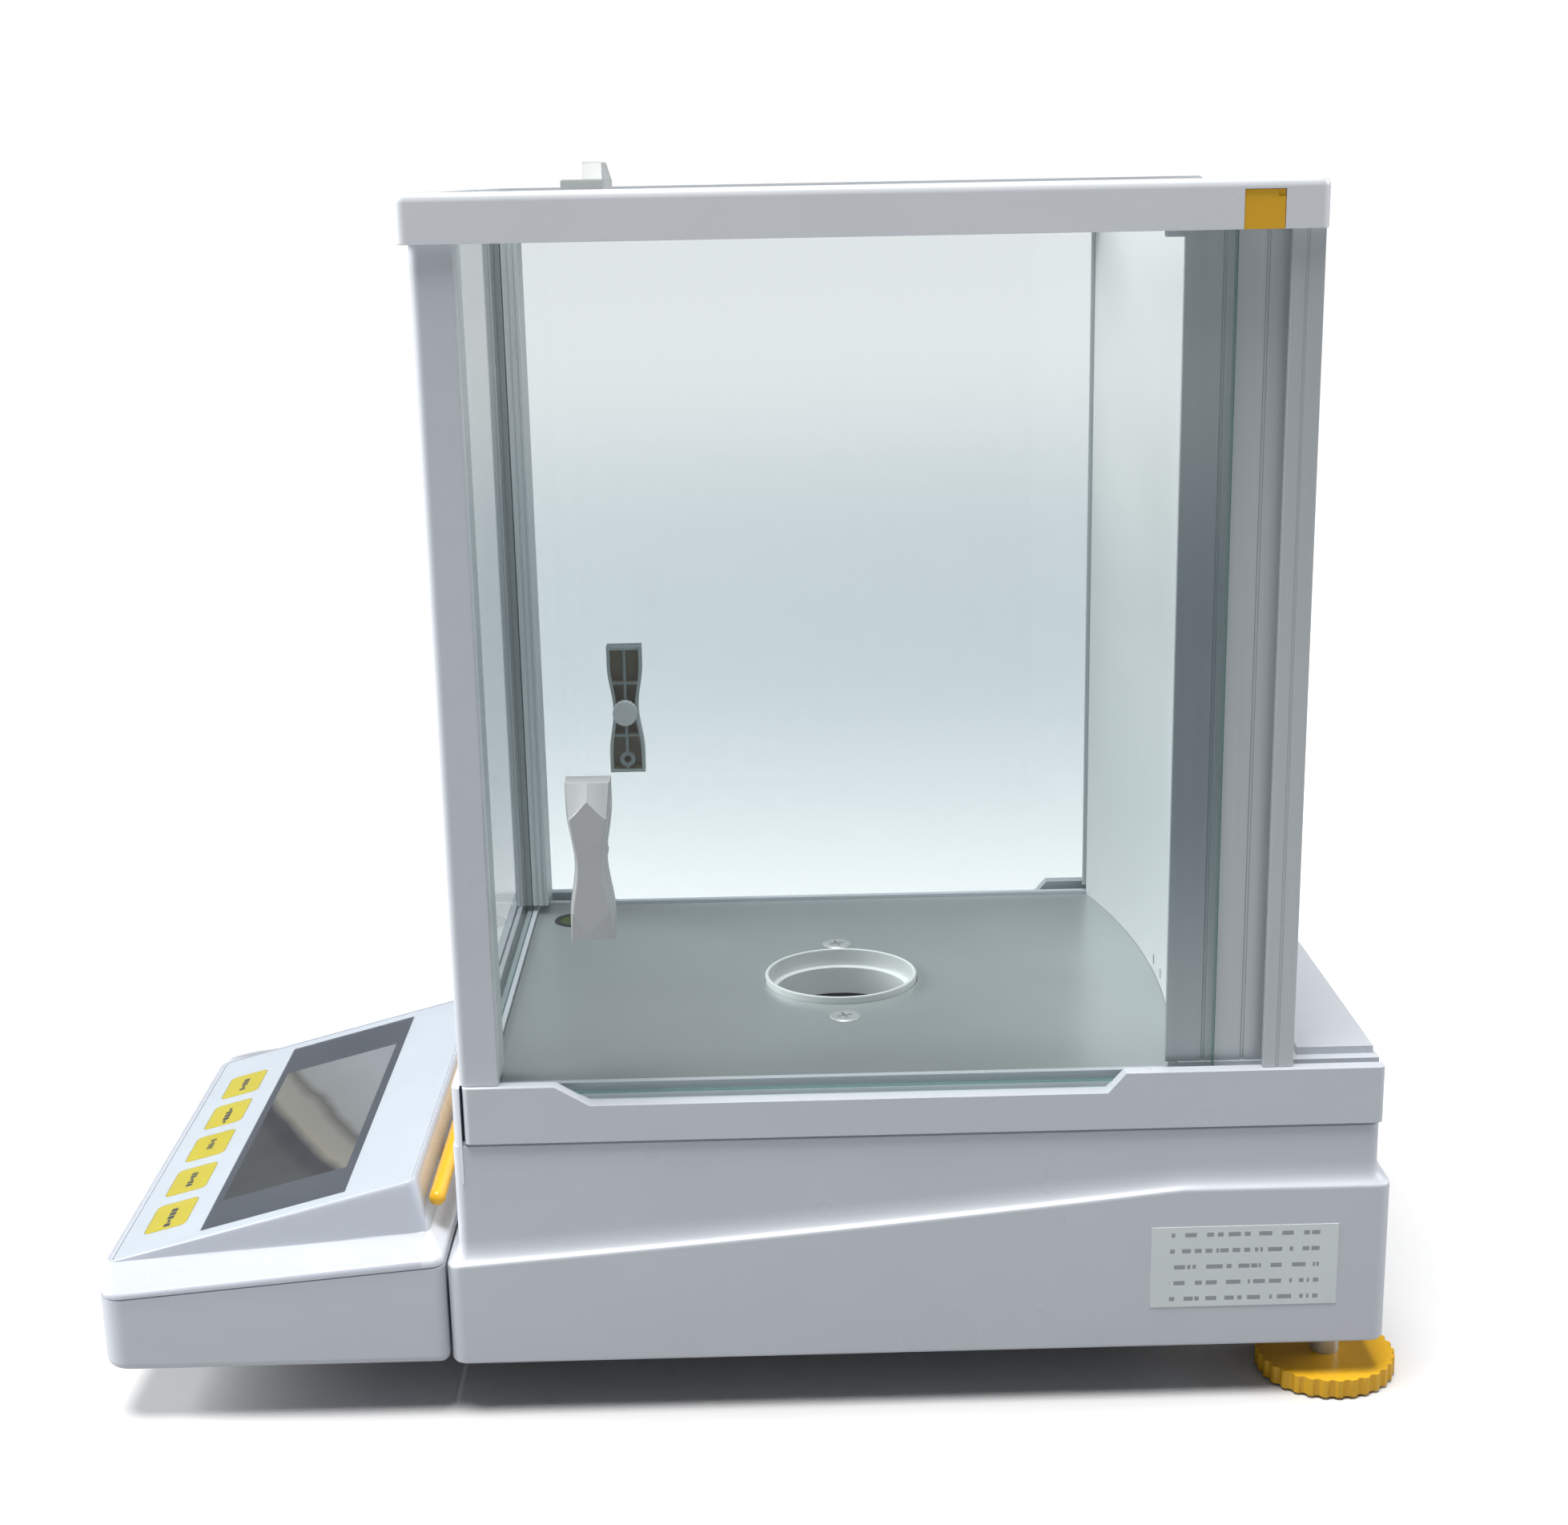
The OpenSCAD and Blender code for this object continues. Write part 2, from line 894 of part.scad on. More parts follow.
module rear_wall() {
    color([0.92, 0.92, 0.9])
        difference() {
            translate([0, 0, tray_z + 0.1])
                linear_extrude(top_bottom - 0.2 - tray_z)
                    difference() {
                        floor_outline(floor_half, 100, wall_t);
                        translate([0, arc_y])
                            circle(wall_radius, $fn = 200);
                        // Straight cheeks leave room for the rear posts
                        translate([-100, rear_post_y - 0.1])
                            square([30, 20]);
                        translate([70, rear_post_y - 0.1])
                            square([30, 20]);
                    }
            for (x = [0, 14])
                block([x - 1.2, 100, 98], [x + 1.2, 160, 101.5]);
        }
}

module rear_cover() {
    color(pale)
        difference() {
            block([-69.8, 147.5, deck_top], [69.8, 150, top_bottom]);
            block([-100, 140, deck_top - 1], [100, 160, strip_z + 0.1]);
            for (x = [-rear_screw_x, rear_screw_x], z = rear_screw_z)
                translate([x, 140, z])
                    rotate([-90, 0, 0])
                        cylinder(h = 20, r = small_screw_r + run);
        }
}

module rear_screws() {
    color(steel)
        for (x = [-rear_screw_x, rear_screw_x], z = rear_screw_z)
            translate([x, 150, z])
                rotate([90, 0, 0])
                    pan_screw(small_screw_r, 7);
}

module top_frame() {
    color(pale)
        difference() {
            round_block(top_half, top_front, top_rear, top_bottom, top_z, 2);
            // Window and the top door's grooves, open to the rear
            block([-79, -74, 300], [79, 141, 400]);
            block([-83.2, -76, lid_z - fit], [83.2, 200, lid_z + glass_t + fit]);
            block([-79, 130, lid_z - fit], [79, 200, 400]);
            // Tracks of the side doors
            both_sides()
                block([door_x - fit, post_rear, 300], [door_x + glass_t + fit, 200, top_bottom + 3.4]);
            // Seats of the plugs
            both_sides()
                block([top_half - 1.2, plug_y, 300],
                    [top_half + 5, plug_y + plug_l, top_bottom + plug_h]);
        }
}

module frame_plugs() {
    color(amber)
        both_sides()
            difference() {
                block([top_half - 1.2, plug_y + 0.1, top_bottom],
                    [top_half - 0.4, plug_y + plug_l - 0.1, top_bottom + plug_h - 0.1]);
                // Small notch at the upper rear corner
                block([top_half - 0.8, plug_y + 8.6, top_bottom + 8], [top_half + 5, plug_y + 20, 400]);
            }
}

// Waisted outline of a handle, long axis along X
module handle_outline(l, w) {
    waist = 1.75;
    half_waist = 15;
    r = (half_waist * half_waist + waist * waist) / (2 * waist);
    difference() {
        square([l, w], center = true);
        for (s = [-1, 1])
            translate([0, s * (w / 2 - waist + r)])
                circle(r, $fn = 120);
    }
}

// A hollow handle with its long axis along X, glass face down at z = 0
module handle() {
    bevel = 3.6;
    color(white)
        difference() {
            intersection() {
                linear_extrude(handle_t)
                    handle_outline(handle_l, handle_w);
                across(-handle_l, handle_l)
                    polygon([[-handle_w / 2, 0], [handle_w / 2, 0], [handle_w / 2, handle_t - bevel],
                        [handle_w / 2 - 2.6, handle_t], [2.6 - handle_w / 2, handle_t],
                        [-handle_w / 2, handle_t - bevel]]);
                rotate([90, 0, 0])
                    translate([0, 0, -handle_w])
                        linear_extrude(2 * handle_w)
                            polygon([[-handle_l / 2, 0], [handle_l / 2, 0],
                                [handle_l / 2, handle_t - bevel], [handle_l / 2 - bevel, handle_t],
                                [bevel - handle_l / 2, handle_t], [-handle_l / 2, handle_t - bevel]]);
            }
            // Hollow back, keeping the ribs and the two bosses
            difference() {
                translate([0, 0, -1])
                    linear_extrude(handle_t - bevel + 1)
                        handle_outline(handle_l - 2.6, handle_w - 2.6);
                block([-30, -0.5, -2], [30, 0.5, 20]);
                for (x = [-10.5, 10.5])
                    block([x - 0.5, -10, -2], [x + 0.5, 10, 20]);
                cylinder(h = 60, r = 3, center = true);
                translate([17.5, 0, 0])
                    cylinder(h = 60, r = 2.6, center = true);
            }
            translate([0, 0, -1])
                cylinder(h = 7, r = stud_r + run);
            translate([17.5, 0, -1])
                cylinder(h = 7, r = 1.2);
        }
}

// The thumb nut on the other side of the glass, with its stud
module handle_nut() {
    color(white)
        translate([0, 0, -glass_t - nut_t - 0.2]) {
            linear_extrude(nut_t)
                difference() {
                    circle(nut_r);
                    for (i = [0:17])
                        rotate(i * 20)
                            translate([nut_r + 0.2, 0])
                                circle(0.4, $fn = 16);
                }
            cylinder(h = glass_t + 9, r = stud_r);
        }
}

module at_side_handle(left) {
    on_side(left)
        translate([door_x + glass_t, handle_y, handle_z])
            rotate([0, 90, 0])
                children();
}

module side_door(left) {
    color(clear)
        on_side(left)
            difference() {
                block([door_x, post_rear + 0.5, 95], [door_x + glass_t, door_rear, top_bottom + 3]);
                translate([door_x - 1, handle_y, handle_z])
                    rotate([0, 90, 0])
                        cylinder(h = 10, r = stud_r + run);
            }
}

module top_door() {
    color(clear)
        difference() {
            block([-83, -75.8, lid_z], [83, 149, lid_z + glass_t]);
            translate([0, handle_y, lid_z - 1])
                cylinder(h = 10, r = stud_r + run);
        }
}

module at_top_handle() {
    translate([0, handle_y, lid_z + glass_t])
        children();
}

module rating_label() {
    color(white)
        block([bulge_half, label_y[0], label_z[0]], [bulge_half + 0.2, label_y[1], label_z[1]]);
}

base_casing();
bottom_plate();
bottom_screws();
deck_frame();
floor_plate();
draft_ring();
floor_screws();
level_housing();
level_vial();
cell_frame();
cell_pivot_pin();
cell_magnet();
cell_lever();
cell_coil();
guide_plates();
pan_carrier();
main_board();
board_standoffs();
power_socket();
data_socket();
front_feet();
on_side(true) level_pad();  // level_pad_left
on_side(false) level_pad();  // level_pad_right
on_side(true) level_wheel();  // level_wheel_left
on_side(false) level_wheel();  // level_wheel_right
on_side(true) level_stud();  // level_stud_left
on_side(false) level_stud();  // level_stud_right
keypad_base();
keypad_cover();
front_panel();
display_window();
lcd_module();
keypad_board();
key(1);  // key_1
key(2);  // key_2
key(3);  // key_3
key(4);  // key_4
key(5);  // key_5
clear_cover();
trim_rod();
front_posts();
front_caps();
front_glass();
rear_posts();
rear_trims();
rear_wall();
rear_cover();
rear_screws();
top_frame();
frame_plugs();
side_door(true);  // side_door_left
side_door(false);  // side_door_right
top_door();
at_side_handle(true) handle();  // handle_left
at_side_handle(false) handle();  // handle_right
at_top_handle() handle();  // handle_top
at_side_handle(true) handle_nut();  // handle_nut_left
at_side_handle(false) handle_nut();  // handle_nut_right
at_top_handle() handle_nut();  // handle_nut_top
rating_label();
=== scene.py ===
"""Looks of an analytical balance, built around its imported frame. Lengths in the constants are millimetres."""
import json
import math

import bmesh
import bpy
from mathutils import Matrix, Vector

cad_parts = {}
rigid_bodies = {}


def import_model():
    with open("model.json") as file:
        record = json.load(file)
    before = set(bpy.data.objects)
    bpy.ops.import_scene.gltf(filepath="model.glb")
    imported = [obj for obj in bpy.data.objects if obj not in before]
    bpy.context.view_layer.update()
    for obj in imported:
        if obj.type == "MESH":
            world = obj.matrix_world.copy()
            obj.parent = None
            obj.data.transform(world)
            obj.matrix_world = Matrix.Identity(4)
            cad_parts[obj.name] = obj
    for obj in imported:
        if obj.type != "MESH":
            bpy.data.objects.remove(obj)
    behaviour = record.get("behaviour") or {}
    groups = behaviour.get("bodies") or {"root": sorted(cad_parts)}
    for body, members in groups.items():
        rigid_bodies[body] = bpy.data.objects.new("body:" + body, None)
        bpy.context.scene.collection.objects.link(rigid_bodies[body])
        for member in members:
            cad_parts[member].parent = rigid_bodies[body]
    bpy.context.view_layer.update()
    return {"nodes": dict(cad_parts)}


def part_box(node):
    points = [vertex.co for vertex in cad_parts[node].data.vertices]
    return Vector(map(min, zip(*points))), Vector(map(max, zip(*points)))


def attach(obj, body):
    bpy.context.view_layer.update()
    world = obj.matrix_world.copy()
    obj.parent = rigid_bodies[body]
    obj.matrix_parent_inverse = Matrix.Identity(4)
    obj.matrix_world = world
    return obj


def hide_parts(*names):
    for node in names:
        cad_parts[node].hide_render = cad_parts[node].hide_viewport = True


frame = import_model()
NODES = frame["nodes"]
MM = 0.001

# Driving sizes of the pieces that are made again here with finer shapes
SHELL_WALL = 2.5
# Ledge along the casing: height at its two ends, start, length, how hollow it is, and the rise of its round
WAVE_FRONT, WAVE_REAR = 46.6, 64.7
WAVE_START, WAVE_RUN = -86.0, 206.0
WAVE_HOLLOW = 0.22
LEDGE_RISE = 5.1
LEDGE_INSET, LEDGE_SLOPE_INSET = 3.0, 3.4
CASING_TOP = 82.5
CASING_CORNER = 4.5
RISER_FRONT = -82.2
OPENINGS = {"power_opening": ((-46, 165, 28.8), (-33.8, 190, 41.2)),
            "data_opening": ((-15.6, 165, 30.8), (15.6, 190, 43.6)),
            "cable_opening": ((-20, -95, 22), (20, -70, 30))}
# Keypad: outline at the parting line, foot of the wedge, and the sloping panel
KEYPAD_HALF, KEYPAD_LENGTH = 94.5, 98.4
KEYPAD_CORNER, KEYPAD_BACK_CORNER = 8.0, 3.0
PARTING_Z, PARTING_TILT = 38.2, math.radians(4.9)
FOOT_HALF, FOOT_LENGTH, FOOT_OVERHANG = 83.0, 92.5, 1.6
FOOT_TILT, FOOT_TAPER = math.radians(5.6), 0.95
PANEL_ORIGIN, PANEL_TILT = Vector((0, -183.9, 42.8)), math.radians(14.7)
PANEL_HALF, PANEL_LENGTH, PANEL_EDGE = 78.0, 90.0, 0.8
# Display on the panel, as (across, up the slope) from the panel's origin
LCD_MIDDLE, LCD_HALF = (2.5, 47.2), (51.0, 19.2)
# Soft diagonal bands of painted reflection across the display: their middle, lean and width
PAINTED_REFLECTION_MIDDLE, PAINTED_REFLECTION_LEAN, PAINTED_REFLECTION_WIDTH = (-18.0, 28.0), 0.464, 80.0
# Handles: half widths at the waist and the ends, straight side, gable ends, recess, ribs and bosses
WAIST_HALF, END_HALF, WAIST_END = 4.25, 6.0, 7.0
HANDLE_SIDE, GABLE_SHOULDER, GABLE_APEX = 7.0, 9.0, 4.2
RECESS_DEPTH, RIB_DEPTH, RIM_DEPTH = 5.4, 5.7, 0.45
RIB_HALF, CROSS_RIB_HALF, CROSS_RIB = 0.45, 5.2, (8.7, 9.5)
BOSS_FROM_END, BOSS_RADIUS, BOSS_BORE = 4.6, 2.6, 1.2
HUB_RADIUS, HUB_BORE = 3.1, 2.0


# ---- Camera, light and floor ----

def make_camera():
    """A camera at the balance's right-hand side that looks slightly down. Its place is in metres."""
    place = (0.6982, 0.0062, 0.3395)
    yaw, pitch, roll = (math.radians(a) for a in (0.868, 15.456, -1.065))
    forward = Vector((-math.cos(yaw) * math.cos(pitch), math.sin(yaw) * math.cos(pitch), -math.sin(pitch)))
    right = forward.cross(Vector((0, 0, 1))).normalized()
    up = right.cross(forward)
    level_right = math.cos(roll) * right + math.sin(roll) * up
    level_up = math.cos(roll) * up - math.sin(roll) * right
    data = bpy.data.cameras.new("camera")
    data.sensor_fit = "HORIZONTAL"
    data.sensor_width = 36.0
    data.lens = 54.04
    data.shift_x = -0.0102
    data.shift_y = 0.0394
    data.clip_start = 0.01
    camera = bpy.data.objects.new("camera", data)
    axes = Matrix((level_right, level_up, -forward)).transposed()
    camera.matrix_world = Matrix.Translation(place) @ axes.to_4x4()
    bpy.context.scene.collection.objects.link(camera)
    bpy.context.scene.camera = camera


def make_sun(name, direction, strength, softness):
    """A sun along a direction, as wide as softness in degrees."""
    data = bpy.data.lights.new(name, "SUN")
    data.energy = strength
    data.angle = math.radians(softness)
    lamp = bpy.data.objects.new(name, data)
    lamp.rotation_euler = Vector(direction).to_track_quat("-Z", "Y").to_euler()
    bpy.context.scene.collection.objects.link(lamp)


def make_softbox(name, place, aim, size, power):
    """A rectangular light that faces a point. Its places and sizes are in metres."""
    data = bpy.data.lights.new(name, "AREA")
    data.shape = "RECTANGLE"
    data.size, data.size_y = size
    data.energy = power
    lamp = bpy.data.objects.new(name, data)
    lamp.location = place
    lamp.rotation_euler = (Vector(aim) - Vector(place)).to_track_quat("-Z", "Y").to_euler()
    bpy.context.scene.collection.objects.link(lamp)


def make_world():
    """A white surround for what is seen directly, and a dimmer one for the light it sheds."""
    world = bpy.data.worlds.new("studio")
    bpy.context.scene.world = world
    world.use_nodes = True
    tree = world.node_tree
    tree.nodes.clear()
    output = tree.nodes.new("ShaderNodeOutputWorld")
    seen = tree.nodes.new("ShaderNodeBackground")
    seen.inputs["Color"].default_value = (1, 1, 1, 1)
    shed = tree.nodes.new("ShaderNodeBackground")
    shed.inputs["Color"].default_value = (0.82, 0.9, 1, 1)
    shed.inputs["Strength"].default_value = 0.16
    path = tree.nodes.new("ShaderNodeLightPath")
    mix = tree.nodes.new("ShaderNodeMixShader")
    tree.links.new(path.outputs["Is Camera Ray"], mix.inputs[0])
    tree.links.new(shed.outputs[0], mix.inputs[1])
    tree.links.new(seen.outputs[0], mix.inputs[2])
    tree.links.new(mix.outputs[0], output.inputs[0])


def make_floor():
    """A plain pale floor, paler to the camera than in the light that it throws back."""
    mesh = bpy.data.meshes.new("floor")
    reach = 14.0
    corners = [(-reach, -reach, 0), (reach, -reach, 0), (reach, reach, 0), (-reach, reach, 0)]
    mesh.from_pydata(corners, [], [(0, 1, 2, 3)])
    floor = bpy.data.objects.new("floor", mesh)
    bpy.context.scene.collection.objects.link(floor)
    s = Shader("studio_floor")
    seen = s.add("ShaderNodeBsdfDiffuse")
    seen.inputs["Color"].default_value = (0.74, 0.735, 0.73, 1)
    shed = s.add("ShaderNodeBsdfDiffuse")
    shed.inputs["Color"].default_value = (0.36, 0.364, 0.374, 1)
    mix = s.add("ShaderNodeMixShader")
    s.link(s.add("ShaderNodeLightPath").outputs["Is Camera Ray"], mix.inputs[0])
    s.link(shed.outputs[0], mix.inputs[1])
    s.link(seen.outputs[0], mix.inputs[2])
    mesh.materials.append(s.show(mix))


# ---- Materials ----

class Shader:
    """A small helper that adds nodes to one material."""

    def __init__(self, name):
        self.material = bpy.data.materials.new(name)
        self.material.use_nodes = True
        self.tree = self.material.node_tree
        self.tree.nodes.clear()
        self.output = self.add("ShaderNodeOutputMaterial")
        self.place = self.add("ShaderNodeTexCoord").outputs["Object"]

    def add(self, kind, **settings):
        node = self.tree.nodes.new(kind)
        for key, value in settings.items():
            setattr(node, key, value)
        return node

    def link(self, source, target):
        self.tree.links.new(source, target)

    def mapped(self, stretch):
        node = self.add("ShaderNodeMapping")
        node.inputs["Scale"].default_value = stretch
        self.link(self.place, node.inputs["Vector"])
        return node.outputs[0]

    def noise(self, scale, detail=2.0, vector=None):
        node = self.add("ShaderNodeTexNoise")
        node.inputs["Scale"].default_value = scale
        node.inputs["Detail"].default_value = detail
        self.link(vector or self.place, node.inputs["Vector"])
        return node.outputs["Fac"]

    def between(self, factor, low, high):
        """A noise's middle range stretched over low to high."""
        node = self.add("ShaderNodeMapRange")
        node.inputs["From Min"].default_value = 0.3
        node.inputs["From Max"].default_value = 0.7
        node.inputs["To Min"].default_value = low
        node.inputs["To Max"].default_value = high
        self.link(factor, node.inputs["Value"])
        return node.outputs[0]

    def shades(self, factor, dark, light):
        """A colour between two others."""
        node = self.add("ShaderNodeMix", data_type="RGBA")
        node.inputs["A"].default_value = (*dark, 1)
        node.inputs["B"].default_value = (*light, 1)
        self.link(factor, node.inputs["Factor"])
        return node.outputs["Result"]

    def maths(self, operation, first, second=None):
        """One Math node; its inputs are numbers or sockets."""
        node = self.add("ShaderNodeMath", operation=operation)
        for socket, value in zip(node.inputs, (first, second)):
            if isinstance(value, (int, float)):
                socket.default_value = value
            elif value is not None:
                self.link(value, socket)
        return node.outputs[0]

    def bump(self, height, depth):
        """A bump of a depth in millimetres."""
        node = self.add("ShaderNodeBump")
        node.inputs["Distance"].default_value = depth * MM
        node.inputs["Strength"].default_value = 1.0
        self.link(height, node.inputs["Height"])
        return node.outputs[0]

    def principled(self, **values):
        node = self.add("ShaderNodeBsdfPrincipled")
        for key, value in values.items():
            socket = node.inputs[key.replace("_", " ")]
            if isinstance(value, bpy.types.NodeSocket):
                self.link(value, socket)
            else:
                socket.default_value = value
        return node

    def show(self, shader):
        self.link(shader.outputs[0], self.output.inputs[0])
        return self.material


def scaled(colour, by):
    return tuple(c * by for c in colour)


def solid(name, colour, rough, grain=0.0, grain_scale=1500.0, spread=0.05, blotch=25.0,
          stretch=(1, 1, 1), rough_spread=0.05, **values):
    """An opaque finish: colour and roughness that drift a little, and a fine surface grain."""
    s = Shader(name)
    where = s.mapped(stretch)
    drift = s.noise(blotch, 4.0, where)
    tone = s.shades(s.between(drift, 0, 1), scaled(colour, 1 - spread), scaled(colour, 1 + spread))
    gloss = s.between(s.noise(blotch * 4, 3.0, where), rough - rough_spread, rough + rough_spread)
    if grain:
        values["Normal"] = s.bump(s.noise(grain_scale, 2.0, where), grain)
    return s.show(s.principled(Base_Color=tone, Roughness=gloss, **values))


def moulded(name, colour, rough=0.3, grain=0.003):
    """Injection-moulded plastic with a fine spark-eroded texture and a few faint scuffs."""
    s = Shader(name)
    drift = s.noise(9.0, 5.0)
    scuffs = s.noise(120.0, 6.0, s.mapped((1, 0.25, 0.6)))
    worn = s.between(scuffs, 0.985, 1.01)
    tone = s.shades(s.between(drift, 0, 1), scaled(colour, 0.975), scaled(colour, 1.015))
    mix = s.add("ShaderNodeVectorMath", operation="SCALE")
    s.link(tone, mix.inputs[0])
    s.link(worn, mix.inputs["Scale"])
    texture = s.noise(1600.0, 1.0)
    gloss = s.between(s.noise(30.0, 3.0), rough - 0.03, rough + 0.04)
    return s.show(s.principled(Base_Color=mix.outputs[0], Roughness=gloss, Normal=s.bump(texture, grain)))


def sheet_glass(name, clear, haze=0.0, haze_colour=(0.8, 0.85, 0.9), gloss=0.0, painted_shade_tint=None):
    """A flat clear sheet: tinted light goes straight through, and its outer faces mirror by Fresnel.

    A shade can also be painted into its tint, darkest round a middle height and paler above and below; the
    heights are in metres.
    """
    s = Shader(name)
    through = s.add("ShaderNodeBsdfTransparent")
    if painted_shade_tint:
        # Painted shade: the tint grows darker round a middle height
        split = s.add("ShaderNodeSeparateXYZ")
        s.link(s.place, split.inputs[0])
        middle, core, fade_end = 0.2, 0.02, 0.10
        near = s.add("ShaderNodeMapRange", interpolation_type="SMOOTHSTEP")
        near.inputs["From Min"].default_value = core
        near.inputs["From Max"].default_value = fade_end
        s.link(s.maths("ABSOLUTE", s.maths("SUBTRACT", split.outputs["Z"], middle)), near.inputs["Value"])
        s.link(s.shades(near.outputs[0], painted_shade_tint, clear), through.inputs["Color"])
    else:
        through.inputs["Color"].default_value = (*clear, 1)
    mirror = s.add("ShaderNodeBsdfGlossy")
    mirror.inputs["Roughness"].default_value = gloss
    fresnel = s.add("ShaderNodeFresnel")
    fresnel.inputs["IOR"].default_value = 1.5
    outer = s.maths("SUBTRACT", 1.0, s.add("ShaderNodeNewGeometry").outputs["Backfacing"])
    share = s.maths("MULTIPLY", fresnel.outputs[0], outer)
    pane = s.add("ShaderNodeMixShader")
    s.link(share, pane.inputs[0])
    s.link(through.outputs[0], pane.inputs[1])
    s.link(mirror.outputs[0], pane.inputs[2])
    if not haze:
        return s.show(pane)
    milk = s.principled(Base_Color=(*haze_colour, 1), Roughness=0.3)
    cloud = s.add("ShaderNodeMixShader")
    s.link(s.between(s.noise(30.0, 4.0), haze * 0.75, haze * 1.25), cloud.inputs[0])
    s.link(pane.outputs[0], cloud.inputs[1])
    s.link(milk.outputs[0], cloud.inputs[2])
    return s.show(cloud)


def striped_label():
    """A paper label whose rows of short bars stand in for print; nothing on it can be read."""
    s = Shader("label_paper")
    split = s.add("ShaderNodeSeparateXYZ")
    s.link(s.place, split.inputs[0])
    low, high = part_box("rating_label")
    row_count, half_bar, half_print, ink_share = 5.0, 0.13, 0.4, 0.75
    span = high.z - low.z
    height = s.maths("DIVIDE", s.maths("SUBTRACT", split.outputs["Z"], low.z), span)
    rows = s.maths("FRACT", s.maths("MULTIPLY", height, row_count))
    line = s.maths("LESS_THAN", s.maths("ABSOLUTE", s.maths("SUBTRACT", rows, 0.5)), half_bar)
    steady = s.add("ShaderNodeCombineXYZ")
    s.link(split.outputs["Y"], steady.inputs["Y"])
    s.link(s.maths("FLOOR", s.maths("MULTIPLY", height, row_count)), steady.inputs["Z"])
    word = s.maths("GREATER_THAN", s.noise(330.0, 1.0, steady.outputs[0]), 0.49)
    line = s.maths("MULTIPLY", line, word)
    reach = s.maths("ABSOLUTE", s.maths("SUBTRACT", split.outputs["Y"], (low.y + high.y) / 2))
    inside = s.maths("LESS_THAN", reach, (high.y - low.y) * half_print)
    paper = s.shades(s.between(s.noise(60.0, 3.0), 0, 1), (0.74, 0.79, 0.775), (0.77, 0.82, 0.80))
    ink = s.add("ShaderNodeMix", data_type="RGBA")
    s.link(s.maths("MULTIPLY", s.maths("MULTIPLY", line, inside), ink_share), ink.inputs["Factor"])
    s.link(paper, ink.inputs["A"])
    ink.inputs["B"].default_value = (0.2, 0.22, 0.24, 1)
    grain = s.bump(s.noise(2500.0, 2.0), 0.01)
    return s.show(s.principled(Base_Color=ink.outputs["Result"], Roughness=0.5, Normal=grain))


def display_film():
    """Smoked film over the display: a dark band whose middle is the unlit liquid crystal, with soft diagonal
    light and dark bands of painted reflection across it.
    """
    s = Shader("window_film")
    split = s.add("ShaderNodeSeparateXYZ")
    s.link(s.place, split.inputs[0])
    x = s.maths("MULTIPLY", split.outputs["X"], 1 / MM)
    from_edge = s.maths("ADD", split.outputs["Y"], -PANEL_ORIGIN.y * MM)
    up = s.maths("MULTIPLY", from_edge, 1 / MM / math.cos(PANEL_TILT))
    across = s.maths("LESS_THAN", s.maths("ABSOLUTE", s.maths("SUBTRACT", x, LCD_MIDDLE[0])), LCD_HALF[0])
    along = s.maths("LESS_THAN", s.maths("ABSOLUTE", s.maths("SUBTRACT", up, LCD_MIDDLE[1])), LCD_HALF[1])
    inside = s.maths("MULTIPLY", across, along)
    # Painted reflection: light and dark diagonal bands across the liquid crystal stand in for the surroundings
    # it mirrors
    lean = s.maths("MULTIPLY", s.maths("SUBTRACT", x, PAINTED_REFLECTION_MIDDLE[0]), PAINTED_REFLECTION_LEAN)
    slant = s.maths("SUBTRACT", s.maths("SUBTRACT", up, PAINTED_REFLECTION_MIDDLE[1]), lean)
    wander = s.maths("MULTIPLY", s.maths("SUBTRACT", s.noise(22.0, 2.0), 0.5), 9.0)
    shifted = s.maths("ADD", s.maths("ADD", slant, wander), PAINTED_REFLECTION_WIDTH / 2)
    ramp = s.add("ShaderNodeValToRGB")
    s.link(s.maths("DIVIDE", shifted, PAINTED_REFLECTION_WIDTH), ramp.inputs[0])
    reflection_tones = [(0.30, (0.034, 0.037, 0.030)), (0.40, (0.028, 0.03, 0.025)), (0.45, (0.004, 0.0045, 0.004)),
             (0.50, (0.006, 0.006, 0.005)), (0.55, (0.21, 0.20, 0.155)), (0.64, (0.19, 0.185, 0.15)),
             (0.69, (0.07, 0.068, 0.05)), (0.73, (0.20, 0.21, 0.20)), (1.0, (0.25, 0.265, 0.265))]
    stops = ramp.color_ramp.elements
    stops[0].position, stops[0].color = reflection_tones[0][0], (*reflection_tones[0][1], 1)
    stops[1].position, stops[1].color = reflection_tones[-1][0], (*reflection_tones[-1][1], 1)
    for place, tone in reflection_tones[1:-1]:
        stops.new(place).color = (*tone, 1)
    band = s.shades(s.between(s.noise(14.0, 3.0), 0, 1), (0.05, 0.06, 0.07), (0.07, 0.08, 0.09))
    tone = s.add("ShaderNodeMix", data_type="RGBA")
    s.link(inside, tone.inputs["Factor"])
    s.link(band, tone.inputs["A"])
    s.link(ramp.outputs["Color"], tone.inputs["B"])
    gloss = s.between(s.noise(200.0, 3.0), 0.12, 0.17)
    ripple = s.bump(s.noise(300.0, 2.0), 0.002)
    return s.show(s.principled(Base_Color=tone.outputs["Result"], Roughness=gloss, Normal=ripple,
                               Specular_IOR_Level=0.35))


